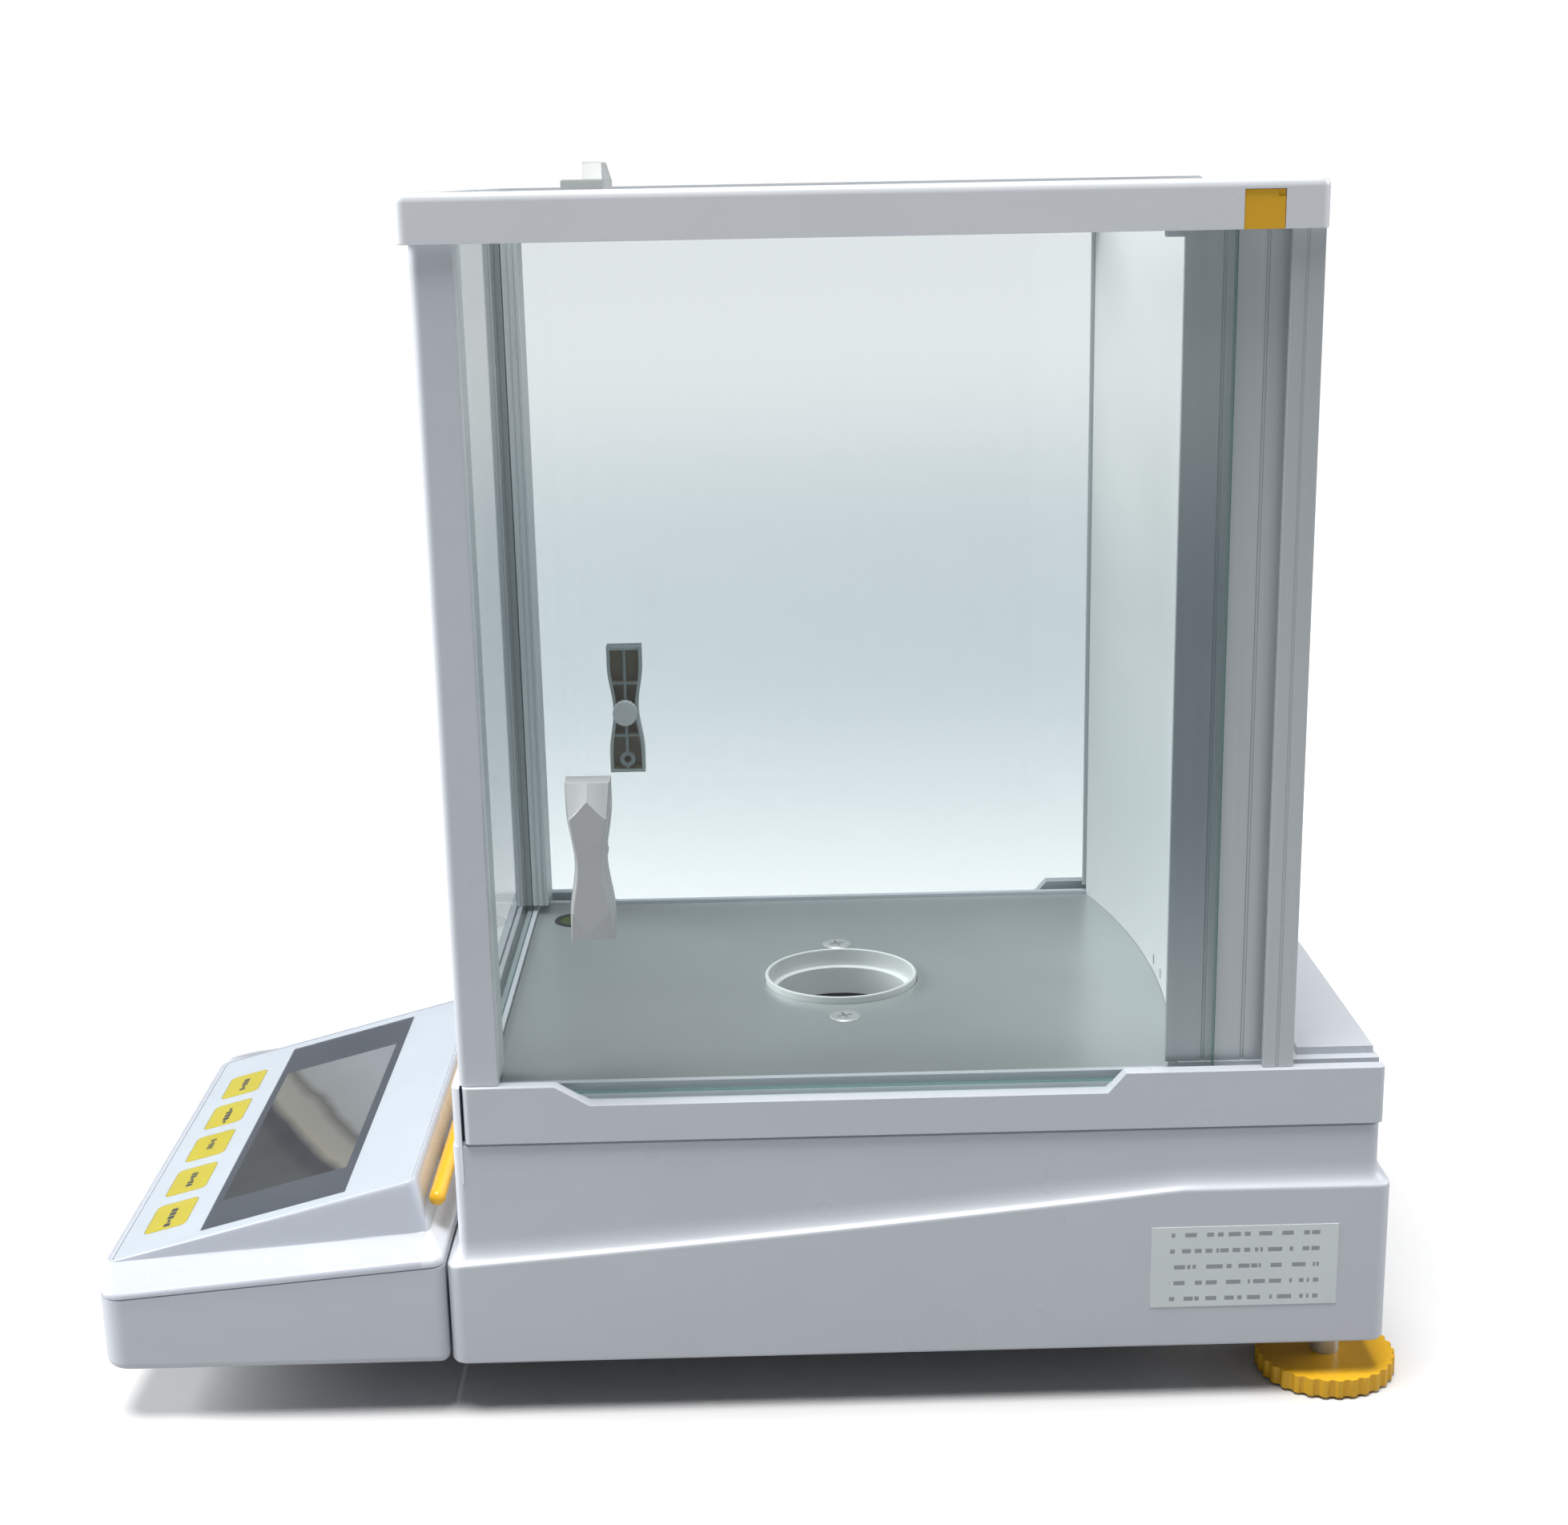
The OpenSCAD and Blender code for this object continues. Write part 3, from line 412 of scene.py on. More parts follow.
M = {
    "shell_plastic": moulded("shell_plastic", (0.625, 0.65, 0.69)),
    "gloss_plastic": moulded("gloss_plastic", (0.66, 0.68, 0.715), rough=0.26, grain=0.002),
    "white_plastic": moulded("white_plastic", (0.70, 0.715, 0.70), rough=0.3),
    "handle_plastic": moulded("handle_plastic", (0.48, 0.50, 0.495), rough=0.26, grain=0.003),
    "handle_recess": moulded("handle_recess", (0.72, 0.60, 0.42), rough=0.5, grain=0.006),
    "amber_plastic": moulded("amber_plastic", (0.86, 0.47, 0.02), rough=0.27),
    "black_plastic": moulded("black_plastic", (0.03, 0.032, 0.036), rough=0.4, grain=0.008),
    "black_rubber": solid("black_rubber", (0.028, 0.028, 0.03), 0.75, grain=0.03, grain_scale=900),
    "clear_plastic": sheet_glass("clear_plastic", (0.96, 0.965, 0.975), haze=0.022,
                                 haze_colour=(0.78, 0.78, 0.86), gloss=0.04),
    # Door glass with painted shade: its tint is darker round the middle of its height
    "door_glass": sheet_glass("door_glass", (0.94, 0.955, 0.955), painted_shade_tint=(0.805, 0.835, 0.845)),
    "vial_glass": sheet_glass("vial_glass", (0.75, 0.86, 0.6), haze=0.12, haze_colour=(0.5, 0.7, 0.25)),
    "glass_edge": sheet_glass("glass_edge", (0.55, 0.68, 0.65), haze=0.3, haze_colour=(0.13, 0.24, 0.21)),
    # Painted light: a paler copy of the casing plastic, for the top frame that the light from above reaches
    # more strongly
    "frame_plastic": moulded("frame_plastic", (0.79, 0.81, 0.835)),
    "post_aluminium": solid("post_aluminium", (0.78, 0.81, 0.82), 0.4, grain=0.003, grain_scale=3000,
                            stretch=(1, 1, 0.02), blotch=350, spread=0.03, Metallic=0.3),
    "key_film": solid("key_film", (0.60, 0.50, 0.012), 0.35, grain=0.006, grain_scale=900, spread=0.03),
    "panel_film": solid("panel_film", (0.60, 0.645, 0.67), 0.33, grain=0.002, grain_scale=1200, spread=0.02),
    "window_film": display_film(),
    "lcd_glass": solid("lcd_glass", (0.115, 0.12, 0.105), 0.07, spread=0.08, rough_spread=0.02,
                       Coat_Weight=1.0),
    "anodised_aluminium": solid("anodised_aluminium", (0.56, 0.59, 0.60), 0.4, grain=0.003, grain_scale=3000,
                                stretch=(1, 1, 0.02), blotch=350, spread=0.03, Metallic=0.5),
    "cell_aluminium": solid("cell_aluminium", (0.66, 0.67, 0.69), 0.3, grain=0.01, stretch=(0.05, 1, 1),
                            Metallic=1.0),
    "floor_steel": solid("floor_steel", (0.44, 0.47, 0.47), 0.3, blotch=14,
                         spread=0.03, rough_spread=0.02, Metallic=0.4),
    "sheet_steel": solid("sheet_steel", (0.52, 0.53, 0.55), 0.4, grain=0.01, Metallic=1.0),
    "screw_steel": solid("screw_steel", (0.62, 0.63, 0.62), 0.4, grain=0.002, blotch=300, spread=0.1,
                         Metallic=0.5),
    "rear_panel": moulded("rear_panel", (0.86, 0.865, 0.845), rough=0.5, grain=0.006),
    "magnet_iron": solid("magnet_iron", (0.16, 0.165, 0.18), 0.38, grain=0.01, Metallic=0.9),
    "coil_copper": solid("coil_copper", (0.68, 0.30, 0.14), 0.3, grain=0.02, grain_scale=3000,
                         stretch=(0.05, 0.05, 1), Metallic=1.0),
    "brass": solid("brass", (0.70, 0.52, 0.22), 0.28, grain=0.006, Metallic=1.0),
    "circuit_board": solid("circuit_board", (0.03, 0.16, 0.075), 0.35, grain=0.01, spread=0.25, blotch=220),
    "label_paper": striped_label(),
}


def slot_of(node):
    """The record slot of a CAD node."""
    return NODES[node].data.materials[0].name.split(".")[0]


def paint(node):
    """Gives a CAD node the material of its record slot."""
    NODES[node].data.materials[0] = M[slot_of(node)]


# ---- Making pieces ----

def add_piece(name, mesh, body, materials, replaces=(), sharp=35.0):
    """Links a mesh as a named piece that rides on a body and takes the place of CAD nodes."""
    for m in materials:
        mesh.materials.append(M[m])
    mesh.shade_smooth()
    mesh.set_sharp_from_angle(angle=math.radians(sharp))
    piece = bpy.data.objects.new(name, mesh)
    bpy.context.scene.collection.objects.link(piece)
    flat = piece.modifiers.new("flat faces", "WEIGHTED_NORMAL")
    flat.keep_sharp = True
    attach(piece, body)
    if replaces:
        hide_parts(*replaces)
    return piece


def mesh_from(name, points, faces):
    """A mesh from points in millimetres, with its faces turned outwards."""
    mesh = bpy.data.meshes.new(name)
    mesh.from_pydata([Vector(p) * MM for p in points], [], faces)
    bm = bmesh.new()
    bm.from_mesh(mesh)
    bmesh.ops.remove_doubles(bm, verts=bm.verts, dist=1e-7)
    bmesh.ops.recalc_face_normals(bm, faces=bm.faces)
    bm.to_mesh(mesh)
    bm.free()
    return mesh


def loft(name, rings, joined=False):
    """Skins rings of equal length. The ends are closed with flat faces, or joined to each other."""
    count = len(rings[0])
    points = [p for ring in rings for p in ring]
    faces = []
    last = len(rings) if joined else len(rings) - 1
    for i in range(last):
        a, b = i * count, (i + 1) % len(rings) * count
        for k in range(count):
            n = (k + 1) % count
            faces.append((a + k, a + n, b + n, b + k))
    if not joined:
        faces.append(tuple(range(count)))
        faces.append(tuple(range((len(rings) - 1) * count, len(rings) * count)))
    return mesh_from(name, points, faces)


def lathe(name, profile, centre, steps=96):
    """Turns a closed profile of (radius, height) points about a vertical axis."""
    rings = []
    for i in range(steps):
        a = 2 * math.pi * i / steps
        rings.append([(centre[0] + r * math.cos(a), centre[1] + r * math.sin(a), z) for r, z in profile])
    return loft(name, rings, joined=True)


def round_outline(half, front, rear, radius, along=48, across=12, back=None):
    """A rectangle with round corners as points (x, y), anticlockwise from the front right corner.

    The two back corners may have a radius of their own, back.
    """
    corner = 10
    points = []
    back = radius if back is None else back
    centres = [(half - radius, front + radius, -90, radius), (half - back, rear - back, 0, back),
               (back - half, rear - back, 90, back), (radius - half, front + radius, 180, radius)]
    for side, (cx, cy, start, r) in enumerate(centres):
        for k in range(corner + 1):
            a = math.radians(start + 90 * k / corner)
            points.append((cx + r * math.cos(a), cy + r * math.sin(a)))
        nx, ny, begin, r = centres[(side + 1) % 4]
        a = math.radians(begin)
        end = (nx + r * math.cos(a), ny + r * math.sin(a))
        first = points[-1]
        steps = along if side % 2 == 0 else across
        for k in range(1, steps):
            t = k / steps
            points.append((first[0] + (end[0] - first[0]) * t, first[1] + (end[1] - first[1]) * t))
    return points


def applied(piece):
    """Applies a piece's modifiers to its mesh."""
    graph = bpy.context.evaluated_depsgraph_get()
    mesh = bpy.data.meshes.new_from_object(piece.evaluated_get(graph))
    piece.modifiers.clear()
    piece.data = mesh


def box_mesh(name, low, high):
    """A plain box between two corners."""
    x0, y0, z0 = low
    x1, y1, z1 = high
    points = [(x, y, z) for x in (x0, x1) for y in (y0, y1) for z in (z0, z1)]
    faces = [(0, 1, 3, 2), (4, 6, 7, 5), (0, 4, 5, 1), (2, 3, 7, 6), (0, 2, 6, 4), (1, 5, 7, 3)]
    return mesh_from(name, points, faces)


def carve(mesh, cutters, operation="DIFFERENCE"):
    """A mesh with others cut away from it, added to it, or kept only where it meets them."""
    scene = bpy.context.scene.collection.objects
    body = bpy.data.objects.new("carved", mesh)
    scene.link(body)
    tools = []
    for cutter in cutters:
        tool = bpy.data.objects.new("cutter", cutter)
        scene.link(tool)
        tools.append(tool)
        step = body.modifiers.new("cut", "BOOLEAN")
        step.operation = operation
        step.solver = "EXACT"
        step.object = tool
    applied(body)
    result = body.data
    for o in [body, *tools]:
        bpy.data.objects.remove(o)
    return result


def bevelled(mesh, width, segments=3, angle=40.0):
    """Rounds the sharp edges of a mesh."""
    body = bpy.data.objects.new("bevelled", mesh)
    bpy.context.scene.collection.objects.link(body)
    step = body.modifiers.new("round", "BEVEL")
    step.width = width * MM
    step.segments = segments
    step.limit_method = "ANGLE"
    step.angle_limit = math.radians(angle)
    step.miter_outer = "MITER_ARC"
    applied(body)
    result = body.data
    bpy.data.objects.remove(body)
    return result


def clean_copy(node):
    """A CAD node's mesh with its flat faces whole again, free of the CAD node."""
    mesh = NODES[node].data.copy()
    mesh.materials.clear()
    bm = bmesh.new()
    bm.from_mesh(mesh)
    bmesh.ops.remove_doubles(bm, verts=bm.verts, dist=2e-6)
    bmesh.ops.dissolve_limit(bm, angle_limit=math.radians(0.6), use_dissolve_boundaries=False,
                             verts=bm.verts, edges=bm.edges)
    for f in bm.faces:
        f.smooth = False
    bm.to_mesh(mesh)
    bm.free()
    if mesh.has_custom_normals:
        mesh.attributes.remove(mesh.attributes["custom_normal"])
    return mesh


def rounded(node, name, body, width, segments=3, angle=40.0, sharp=35.0, finish=None):
    """Takes a CAD node's place with a copy whose edges are rounded as on a moulded or machined piece."""
    slot = slot_of(node)
    mesh = bevelled(clean_copy(node), width, segments, angle)
    add_piece(name, mesh, body, [finish or slot], [node], sharp)


# ---- Base ----

def wave(y):
    """Height of the ledge along the base: a slightly hollow ramp that runs out level behind."""
    s = min(1.0, max(0.0, (y - WAVE_START) / WAVE_RUN))
    return WAVE_FRONT + (WAVE_REAR - WAVE_FRONT) * s * (1 - WAVE_HOLLOW + WAVE_HOLLOW * s)


def make_base():
    """The casing: bulge, wave-shaped ledge, upper wall and the riser in front of the chamber."""
    low, high = (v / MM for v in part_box("base_casing"))
    half, front, rear, bottom = high.x, low.y, high.y, low.z
    top, wall_top = CASING_TOP, high.z
    inside = LEDGE_INSET - 0.5 + SHELL_WALL
    # Each step: how far in from the bulge, the height, and whether that height is above the local ledge
    steps = [(0.9, bottom, 0), (0.28, bottom + 0.28, 0), (0, bottom + 0.9, 0), (0, -1.0, 1), (0.03, -0.6, 1),
             (0.12, -0.28, 1), (0.3, -0.05, 1), (1.0, 0.5, 1), (1.65, 1.1, 1), (2.15, 1.85, 1),
             (2.55, 2.8, 1), (2.82, 3.9, 1), (2.96, LEDGE_RISE, 1), (LEDGE_INSET, LEDGE_RISE + 1.2, 1),
             (LEDGE_INSET, top - 1.3, 0), (3.1, top - 1.0, 0), (3.9, top - 0.9, 0), (3.9, top, 0),
             (inside, top, 0), (inside, bottom + 8, 0), (inside, bottom, 0)]
    rings = []
    for inset, height, follows in steps:
        t = min(inset, LEDGE_INSET) / LEDGE_INSET
        more = inset - min(inset, LEDGE_INSET)
        y0 = front + LEDGE_SLOPE_INSET * t + more
        y1 = rear - LEDGE_SLOPE_INSET * t - more
        outline = round_outline(half - inset, y0, y1, max(CASING_CORNER - 1.2 * t - more, 1.2))
        rings.append([(x, y, height + (wave(y) if follows else 0)) for x, y in outline])
    shell = loft("base_shell", rings, joined=True)
    riser_rings = []
    for inset, height in [(0, top - 12), (0, wall_top - 0.6), (0.18, wall_top - 0.18), (0.6, wall_top)]:
        outline = round_outline(half - 2.5 - inset, RISER_FRONT + inset, -60, 4 - inset, along=2)
        riser_rings.append([(x, y, height) for x, y in outline])
    riser = loft("riser", riser_rings)
    riser = carve(riser, [box_mesh("behind", (-120, RISER_FRONT + SHELL_WALL, 50), (120, -40, 120))])
    shell = carve(shell, [riser], "UNION")
    shell = carve(shell, [box_mesh(name, *corners) for name, corners in OPENINGS.items()])
    add_piece("base_shell", shell, "balance", ["shell_plastic"], replaces=["base_casing"], sharp=32)


# ---- Keypad ----

def on_plane(origin, tilt, x, s, lift=0.0):
    """A point on a sloping plane that starts at origin and climbs to the rear."""
    return (origin[0] + x, origin[1] + s * math.cos(tilt) - lift * math.sin(tilt),
            origin[2] + s * math.sin(tilt) + lift * math.cos(tilt))


def keypad_outline(half, front, rear, radius, back=None):
    """An outline with the same number of points for every ring of the keypad."""
    return round_outline(half, front, rear, radius, along=24, across=24, back=back)


def keypad_outlines(grow):
    """The three outlines that shape the keypad: parting line, foot of the wedge and edge of the panel."""
    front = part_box("keypad_base")[0].y / MM
    parting = [on_plane((0, front, PARTING_Z), PARTING_TILT, x, s)
               for x, s in keypad_outline(KEYPAD_HALF + grow, -grow, KEYPAD_LENGTH + grow,
                                          KEYPAD_CORNER + grow, KEYPAD_BACK_CORNER + grow)]
    foot = []
    for x, s in keypad_outline(FOOT_HALF + grow, -FOOT_OVERHANG - grow, FOOT_LENGTH + grow,
                               5 + grow, 3 + grow):
        taper = FOOT_TAPER + (1 - FOOT_TAPER) * min(1, max(0, s / PANEL_LENGTH))
        foot.append(on_plane(PANEL_ORIGIN, FOOT_TILT, x * taper, s, grow))
    edge = PANEL_EDGE + grow
    panel = [on_plane(PANEL_ORIGIN, PANEL_TILT, x, s, grow)
             for x, s in keypad_outline(PANEL_HALF + edge, -edge, PANEL_LENGTH + edge, 3 + grow)]
    return parting, foot, panel


def blend_ring(a, b, flat, rise):
    """A ring between two others, with its own share of the way across and of the way up."""
    return [(p[0] + (q[0] - p[0]) * flat, p[1] + (q[1] - p[1]) * flat, p[2] + (q[2] - p[2]) * rise)
            for p, q in zip(a, b)]


# Profiles of the shoulder, from the parting line to the foot, and of the wedge above it: each pair is the
# share of the way across and the share of the way up
SHOULDER = [(0, 0), (0, 0.12), (0.012, 0.24), (0.04, 0.35), (0.085, 0.43), (0.15, 0.49), (0.4, 0.63),
            (0.7, 0.81), (0.93, 0.955), (0.985, 1.01)]
WEDGE = [(0.02, 0.06), (0.08, 0.14), (0.5, 0.52), (0.86, 0.9), (0.95, 0.965), (1.0, 0.99)]


def keypad_rings(grow):
    """The rings of the keypad's outer skin, moved out by grow."""
    parting, foot, panel = keypad_outlines(grow)
    rings = [blend_ring(parting, foot, flat, rise) for flat, rise in SHOULDER]
    rings += [blend_ring(foot, panel, flat, rise) for flat, rise in WEDGE]
    return rings


def panel_ring(inset, lift, radius=2.0):
    """A ring parallel to the panel's edge."""
    edge = PANEL_EDGE - inset
    return [on_plane(PANEL_ORIGIN, PANEL_TILT, x, s, lift)
            for x, s in keypad_outline(PANEL_HALF + edge, -edge, PANEL_LENGTH + edge, radius)]


def make_keypad_tub():
    """The keypad's lower shell."""
    low, high = (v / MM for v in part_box("keypad_base"))
    bottom = low.z
    # Each step: how far in from the side, the height, and whether that is above the sloping parting line
    outer = [(2.4, bottom, 0), (1.0, bottom + 0.35, 0), (0.3, bottom + 1.1, 0), (0, bottom + 2.4, 0),
             (0, -0.9, 1), (0.12, -0.45, 1), (0.45, -0.25, 1), (SHELL_WALL, -0.25, 1),
             (SHELL_WALL, bottom + SHELL_WALL, 0)]
    rings = []
    for inset, height, follows in outer:
        outline = keypad_outline(KEYPAD_HALF - inset, low.y + inset, high.y - inset, KEYPAD_CORNER - inset,
                                 max(KEYPAD_BACK_CORNER - inset, 0.4))
        rings.append([(x, y, height + (PARTING_Z + (y - low.y) * math.tan(PARTING_TILT) if follows else 0))
                      for x, y in outline])
    tub = carve(loft("keypad_tub", rings), [box_mesh("cable", (-20, -95, 22), (20, -80, 30))])
    add_piece("keypad_tub", tub, "balance", ["shell_plastic"], replaces=["keypad_base"])


def make_keypad_shell():
    """The keypad's upper shell: out over the shoulder and the wedge, in under the panel, back down inside."""
    rings = keypad_rings(0)
    rings += [panel_ring(0.25, 0.08, 2.8), panel_ring(0.7, 0.08, 2.2), panel_ring(0.72, -1.2, 2.0),
              panel_ring(4.5, -1.2, 1.5), panel_ring(4.5, -3.0, 1.5)]
    parting, foot, _ = keypad_outlines(-SHELL_WALL)
    rings += [blend_ring(foot, panel_ring(4.5, -3.0, 1.5), 0.3, 0.3), [(x, y, z - 0.6) for x, y, z in foot]]
    rings += [[(x, y, z - 0.2) for x, y, z in parting]]
    shell = loft("keypad_shell", rings, joined=True)
    add_piece("keypad_shell", shell, "balance", ["gloss_plastic"], replaces=["keypad_cover"], sharp=30)


def make_clear_cover():
    """A formed clear sheet that follows the keypad, open below and behind."""
    outer, inner = keypad_rings(0.9), keypad_rings(0.3)
    lift = 0.35
    outer[0] = [(x, y, z + lift) for x, y, z in outer[0]]
    inner[0] = [(x, y, z + lift) for x, y, z in inner[0]]
    mesh = loft("clear_hood", inner[::-1] + outer)
    mesh = carve(mesh, [box_mesh("behind", (-120, -93, 0), (120, -60, 100))])
    add_piece("clear_hood", mesh, "protective_cover", ["clear_plastic"], replaces=["clear_cover"], sharp=50)


# ---- Glass ----

def make_pane(node, name, body, across):
    """A glass sheet with two clear faces across one axis and green ground edges.

    The front edge of a side door sits in the post's groove and stays clear.
    """
    mesh = bevelled(clean_copy(node), 0.25, 1)
    add_piece(name, mesh, body, ["door_glass", "glass_edge"], [node])
    for face in mesh.polygons:
        in_groove = across == 0 and face.normal.y < -0.9
        face.material_index = 0 if abs(face.normal[across]) > 0.9 or in_groove else 1
        face.use_smooth = False


# ---- Chamber fittings ----

def make_ring():
    """The draft ring round the pan hole, stepped inside and open below."""
    low, high = (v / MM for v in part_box("draft_ring"))
    centre = ((low.x + high.x) / 2, (low.y + high.y) / 2)
    r, top = high.x - centre[0], high.z
    step, seat, foot = 92.8, 91.4, 84
    profile = [(r, seat), (r, top - 0.5), (r - 0.15, top - 0.15), (r - 0.5, top), (r - 0.75, top),
               (r - 1.08, top - 0.15), (r - 1.2, top - 0.5), (r - 1.2, step + 0.2), (r - 1.3, step),
               (r - 3.0, step), (r - 3.2, step - 0.2), (r - 3.2, foot), (r - 2, foot), (r - 2, seat)]
    add_piece("draft_collar", lathe("draft_collar", profile, centre), "balance", ["white_plastic"],
              replaces=["draft_ring"])


def make_rod():
    """The round-ended amber rod on its two stalks."""
    low, high = (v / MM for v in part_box("trim_rod"))
    radius, turns = 2.4, 40
    stalk_x, stalk_half = 26, 2.5
    y, z = (low.y + high.y) / 2, high.z - radius
    rings = []
    ends = [(low.x + radius * (1 - math.cos(a)), radius * math.sin(a))
            for a in (math.radians(d) for d in (2, 20, 40, 60, 80, 90))]
    stations = ends + [(-x, r) for x, r in reversed(ends)]
    for x, r in stations:
        angles = [2 * math.pi * k / turns for k in range(turns)]
        rings.append([(x, y + r * math.cos(a), z + r * math.sin(a)) for a in angles])
    rod = loft("rod", rings)
    stalks = [bevelled(box_mesh("stalk", (x - stalk_half, y - 1, low.z), (x + stalk_half, y + 1, z - 1)), 0.3)
              for x in (-stalk_x, stalk_x)]
    add_piece("accent_rod", carve(rod, stalks, "UNION"), "balance", ["amber_plastic"], replaces=["trim_rod"])


# ---- Handles ----

def waist(along, half):
    """Half the width of a handle at a distance along it: narrow in the middle, full towards the ends."""
    t = min(1.0, abs(along) / (half - WAIST_END))
    return WAIST_HALF + (END_HALF - WAIST_HALF) * t * t * (3 - 2 * t)


def handle_ring(half, shoulder, apex, inset, depth, steps=20, across=6):
    """One outline of a handle as (across, along, depth); its ends rise from shoulder to apex."""
    ring = []
    for end in (1, -1):
        for k in range(steps + 1):
            along = -end * shoulder * (1 - 2 * k / steps)
            ring.append((end * (waist(along, half) - inset), along, depth))
        wide = waist(shoulder, half) - inset
        for k in range(1, across):
            t = 1 - 2 * k / across
            ring.append((end * wide * t, end * (shoulder + (apex - shoulder) * (1 - abs(t))), depth))
    return ring


def make_handle(node, name, body, out_axis, side, finish="handle_plastic"):
    """A waisted handle: gabled outer face, hollow ribbed back in a darker colour, ring boss at one end."""
    low, high = (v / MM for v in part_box(node))
    middle = (low + high) / 2
    length_axis = 2 - out_axis
    half = (high[length_axis] - low[length_axis]) / 2
    base = low[out_axis] if side > 0 else high[out_axis]
    full = high[out_axis] - low[out_axis]
    outer = [handle_ring(half, half - i, half - i, i, d)
             for i, d in ((0.15, 0), (0, 0.3), (0.1, HANDLE_SIDE - 0.6), (0.3, HANDLE_SIDE))]
    outer += [handle_ring(half, half - GABLE_SHOULDER, half - GABLE_APEX, i, d)
              for i, d in ((0.95, full - 0.45), (1.15, full - 0.15), (1.5, full))]
    hollow = [handle_ring(half, half - 1.2, half - 1.2, 1.1, -1),
              handle_ring(half, half - 1.3, half - 1.3, 1.3, RECESS_DEPTH)]

    def placed(rings):
        """Rings of (across, along, depth) in the scene's axes."""
        result = []
        for ring in rings:
            row = []
            for off, along, depth in ring:
                point = middle.copy()
                point.y += off
                point[length_axis] += along
                point[out_axis] = base + side * depth
                row.append(point)
            result.append(row)
        return result

    def rib(off, along):
        (o0, o1), (l0, l1) = off, along
        corners = ((o0, l0), (o1, l0), (o1, l1), (o0, l1))
        return loft("rib", placed([[(o, l, d) for o, l in corners] for d in (0.35, RIB_DEPTH)]))

    def post(along, radius, depths):
        angles = [2 * math.pi * k / 28 for k in range(28)]
        turn = [(radius * math.cos(a), along + radius * math.sin(a)) for a in angles]
        return loft("post", placed([[(o, l, d) for o, l in turn] for d in depths]))

    boss = -half + BOSS_FROM_END
    near, far = CROSS_RIB
    skin = carve(loft(name, placed(outer)), [loft("hollow", placed(hollow))])
    ribs = [rib((-RIB_HALF, RIB_HALF), (-half + 0.6, half - 0.6)),
            rib((-CROSS_RIB_HALF, CROSS_RIB_HALF), (near, far)),
            rib((-CROSS_RIB_HALF, CROSS_RIB_HALF), (-far, -near)),
            post(0, HUB_RADIUS, (0.3, RIB_DEPTH)), post(boss, BOSS_RADIUS, (0.15, RIB_DEPTH))]
    skin = carve(skin, ribs, "UNION")
    skin = carve(skin, [post(boss, BOSS_BORE, (-1, 4.6)), post(0, HUB_BORE, (-1, 5.2))])
    add_piece(name, skin, body, [finish, "handle_recess", "white_plastic"], [node], 30)
    for face in skin.polygons:
        centre = face.center / MM
        depth = (centre[out_axis] - base) * side
        along = centre[length_axis] - middle[length_axis]
        within = abs(centre.y - middle.y) < waist(along, half) - 0.8 and abs(along) < half - 1.0
        if within and RIM_DEPTH < depth < RECESS_DEPTH + 0.2:
            face.material_index = 1
        elif depth < RIM_DEPTH:
            face.material_index = 2


# ---- Top frame, key legends and stop pads ----

def make_top_frame():
    """The top frame, its upper outer edges drawn round."""
    low, high = (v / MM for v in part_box("top_frame"))
    rings = []
    for inset, drop in [(0.35, 12.6), (0, 12.2), (0, 2.4), (0.06, 1.8), (0.28, 1.1), (0.7, 0.5), (1.3, 0.14),
                        (2.1, -0.02)]:
        outline = round_outline(high.x - inset, low.y + inset, high.y - inset, 3.2 - inset, along=2, across=2)
        rings.append([(x, y, high.z - drop) for x, y in outline])
    frame_mesh = carve(clean_copy("top_frame"), [loft("rounding", rings)], "INTERSECT")
    # Its paler plastic is painted light
    add_piece("top_frame_moulding", frame_mesh, "balance", ["frame_plastic"], ["top_frame"],
              sharp=30)


def make_key_marks(k):
    """Short dark bars in the middle of a key; they stand for its legend and spell nothing."""
    low, high = (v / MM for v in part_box(f"key_{k}"))
    x0, s0 = (low.x + high.x) / 2, ((low.y + high.y) / 2 - PANEL_ORIGIN.y) / math.cos(PANEL_TILT)
    top = max((v.co / MM - PANEL_ORIGIN).dot(Vector((0, -math.sin(PANEL_TILT), math.cos(PANEL_TILT))))
              for v in NODES[f"key_{k}"].data.vertices)
    bar_count, row_half, gap = 5, 4.6, 0.5
    bars = []
    x = x0 - row_half
    for i in range(bar_count):
        wide = 1.1 + 0.5 * ((i * 3 + k * 2) % 3)
        tall = 1.0 if (i + k) % 4 else 0.45
        rings = [[on_plane(PANEL_ORIGIN, PANEL_TILT, x + u * wide, s0 + v * tall, top + lift)
                  for u, v in ((0, -1), (1, -1), (1, 1), (0, 1))] for lift in (-0.05, 0.03)]
        bars.append(rings)
        x += wide + gap
    points = [p for rings in bars for ring in rings for p in ring]
    faces = []
    for i in range(len(bars)):
        o = 8 * i
        faces += [(o, o + 1, o + 2, o + 3), (o + 4, o + 5, o + 6, o + 7)]
        faces += [(o + j, o + (j + 1) % 4, o + 4 + (j + 1) % 4, o + 4 + j) for j in range(4)]
    add_piece(f"key_legend_{k}", mesh_from("legend", points, faces), f"key_cap_{k}", ["black_plastic"])


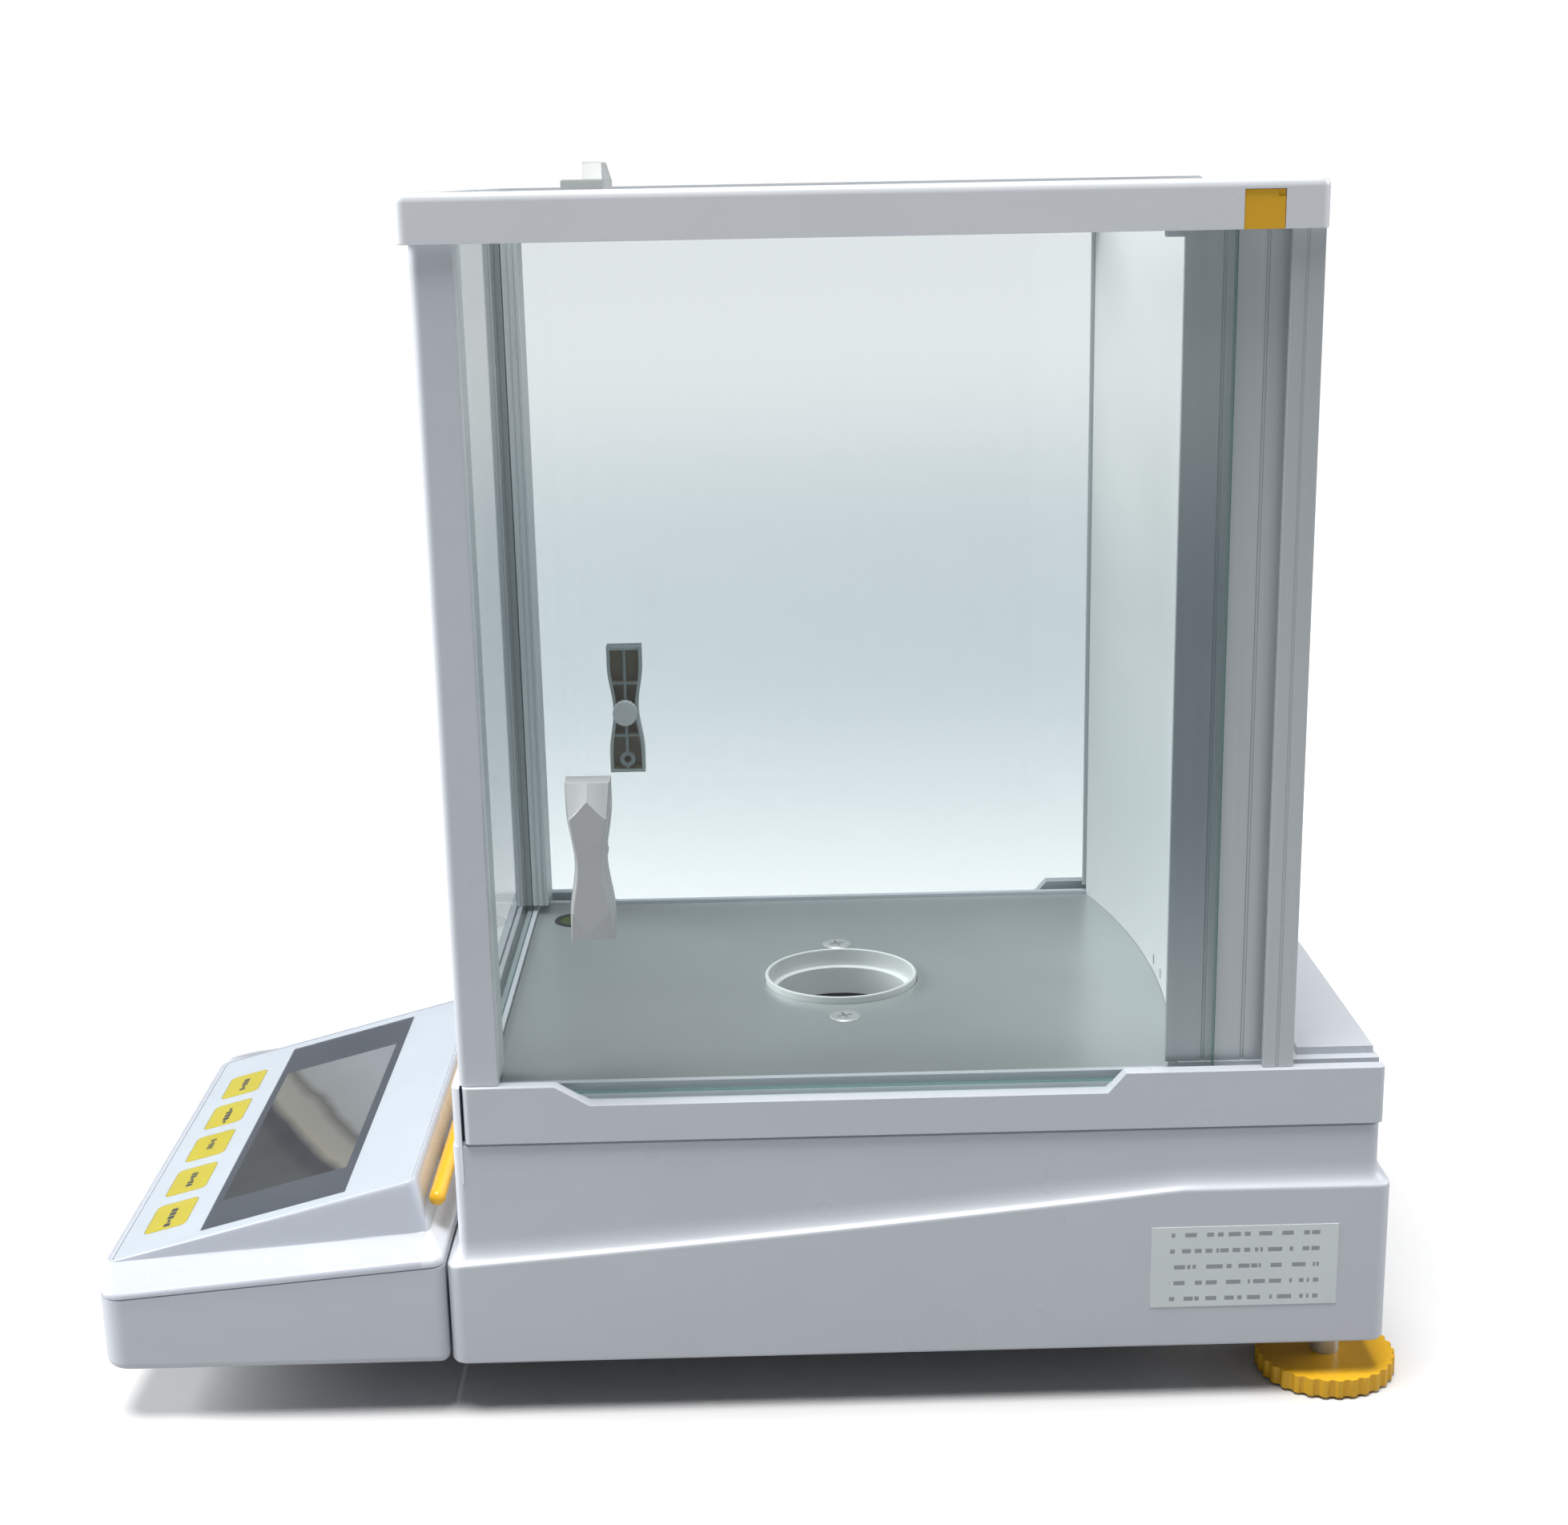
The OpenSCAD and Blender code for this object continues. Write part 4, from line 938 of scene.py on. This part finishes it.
def make_stops():
    """Small grey stop pads under the top frame, ahead of the rear posts."""
    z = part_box("top_frame")[0].z / MM
    inner, outer, front, rear = 80.5, 84.5, 111.5, 116.5
    for side, name in ((1, "stop_pad_right"), (-1, "stop_pad_left")):
        x0, x1 = sorted((side * inner, side * outer))
        pad = bevelled(box_mesh(name, (x0, front, z - 1.8), (x1, rear, z + 0.1)), 0.3)
        add_piece(name, pad, "balance", ["anodised_aluminium"])


# ---- The whole scene ----

make_camera()
make_world()
make_floor()
make_sun("key_light", (-0.12, 0.1, -1), 3.85, 30)
make_softbox("front_light", (-0.35, -2.3, 1.1), (0, 0.1, 0.2), (1.6, 1.2), 76.0)
make_softbox("rear_light", (-0.25, 2.3, 1.1), (0, 0, 0.2), (1.6, 1.2), 26.0)
bpy.context.scene.view_settings.view_transform = "Standard"

for node in NODES:
    paint(node)

make_base()
make_keypad_tub()
make_keypad_shell()
make_clear_cover()
rounded("deck_frame", "deck_frame_moulding", "balance", 0.45)
make_top_frame()
rounded("front_posts", "front_post_profiles", "balance", 0.25, finish="post_aluminium")
rounded("front_caps", "front_post_caps", "balance", 0.3)
rounded("rear_posts", "rear_post_profiles", "balance", 0.25)
rounded("rear_trims", "rear_post_trims", "balance", 0.25)
rounded("rear_cover", "rear_cover_sheet", "balance", 0.4)
rounded("frame_plugs", "amber_plugs", "balance", 0.5)
rounded("front_feet", "rubber_feet", "balance", 0.5, angle=50)
make_ring()
make_rod()
make_stops()
make_pane("side_door_left", "left_door_pane", "left_door", 0)
make_pane("side_door_right", "right_door_pane", "right_door", 0)
make_pane("top_door", "top_door_pane", "top_door", 2)
make_pane("front_glass", "front_pane", "balance", 1)
make_handle("handle_left", "left_door_handle", "left_door", 0, -1)
make_handle("handle_right", "right_door_handle", "right_door", 0, 1)
make_handle("handle_top", "top_door_handle", "top_door", 2, 1, "white_plastic")
for side in ("left", "right"):
    rounded(f"level_wheel_{side}", f"{side}_thumb_wheel", f"{side}_foot_wheel", 0.35, segments=2, angle=50)
    rounded(f"handle_nut_{side}", f"{side}_thumb_nut", f"{side}_door", 0.25, segments=2, angle=50)
rounded("handle_nut_top", "top_thumb_nut", "top_door", 0.25, segments=2, angle=50)
for k in range(1, 6):
    rounded(f"key_{k}", f"key_cap_{k}_film", f"key_cap_{k}", 0.12, segments=2)
    make_key_marks(k)
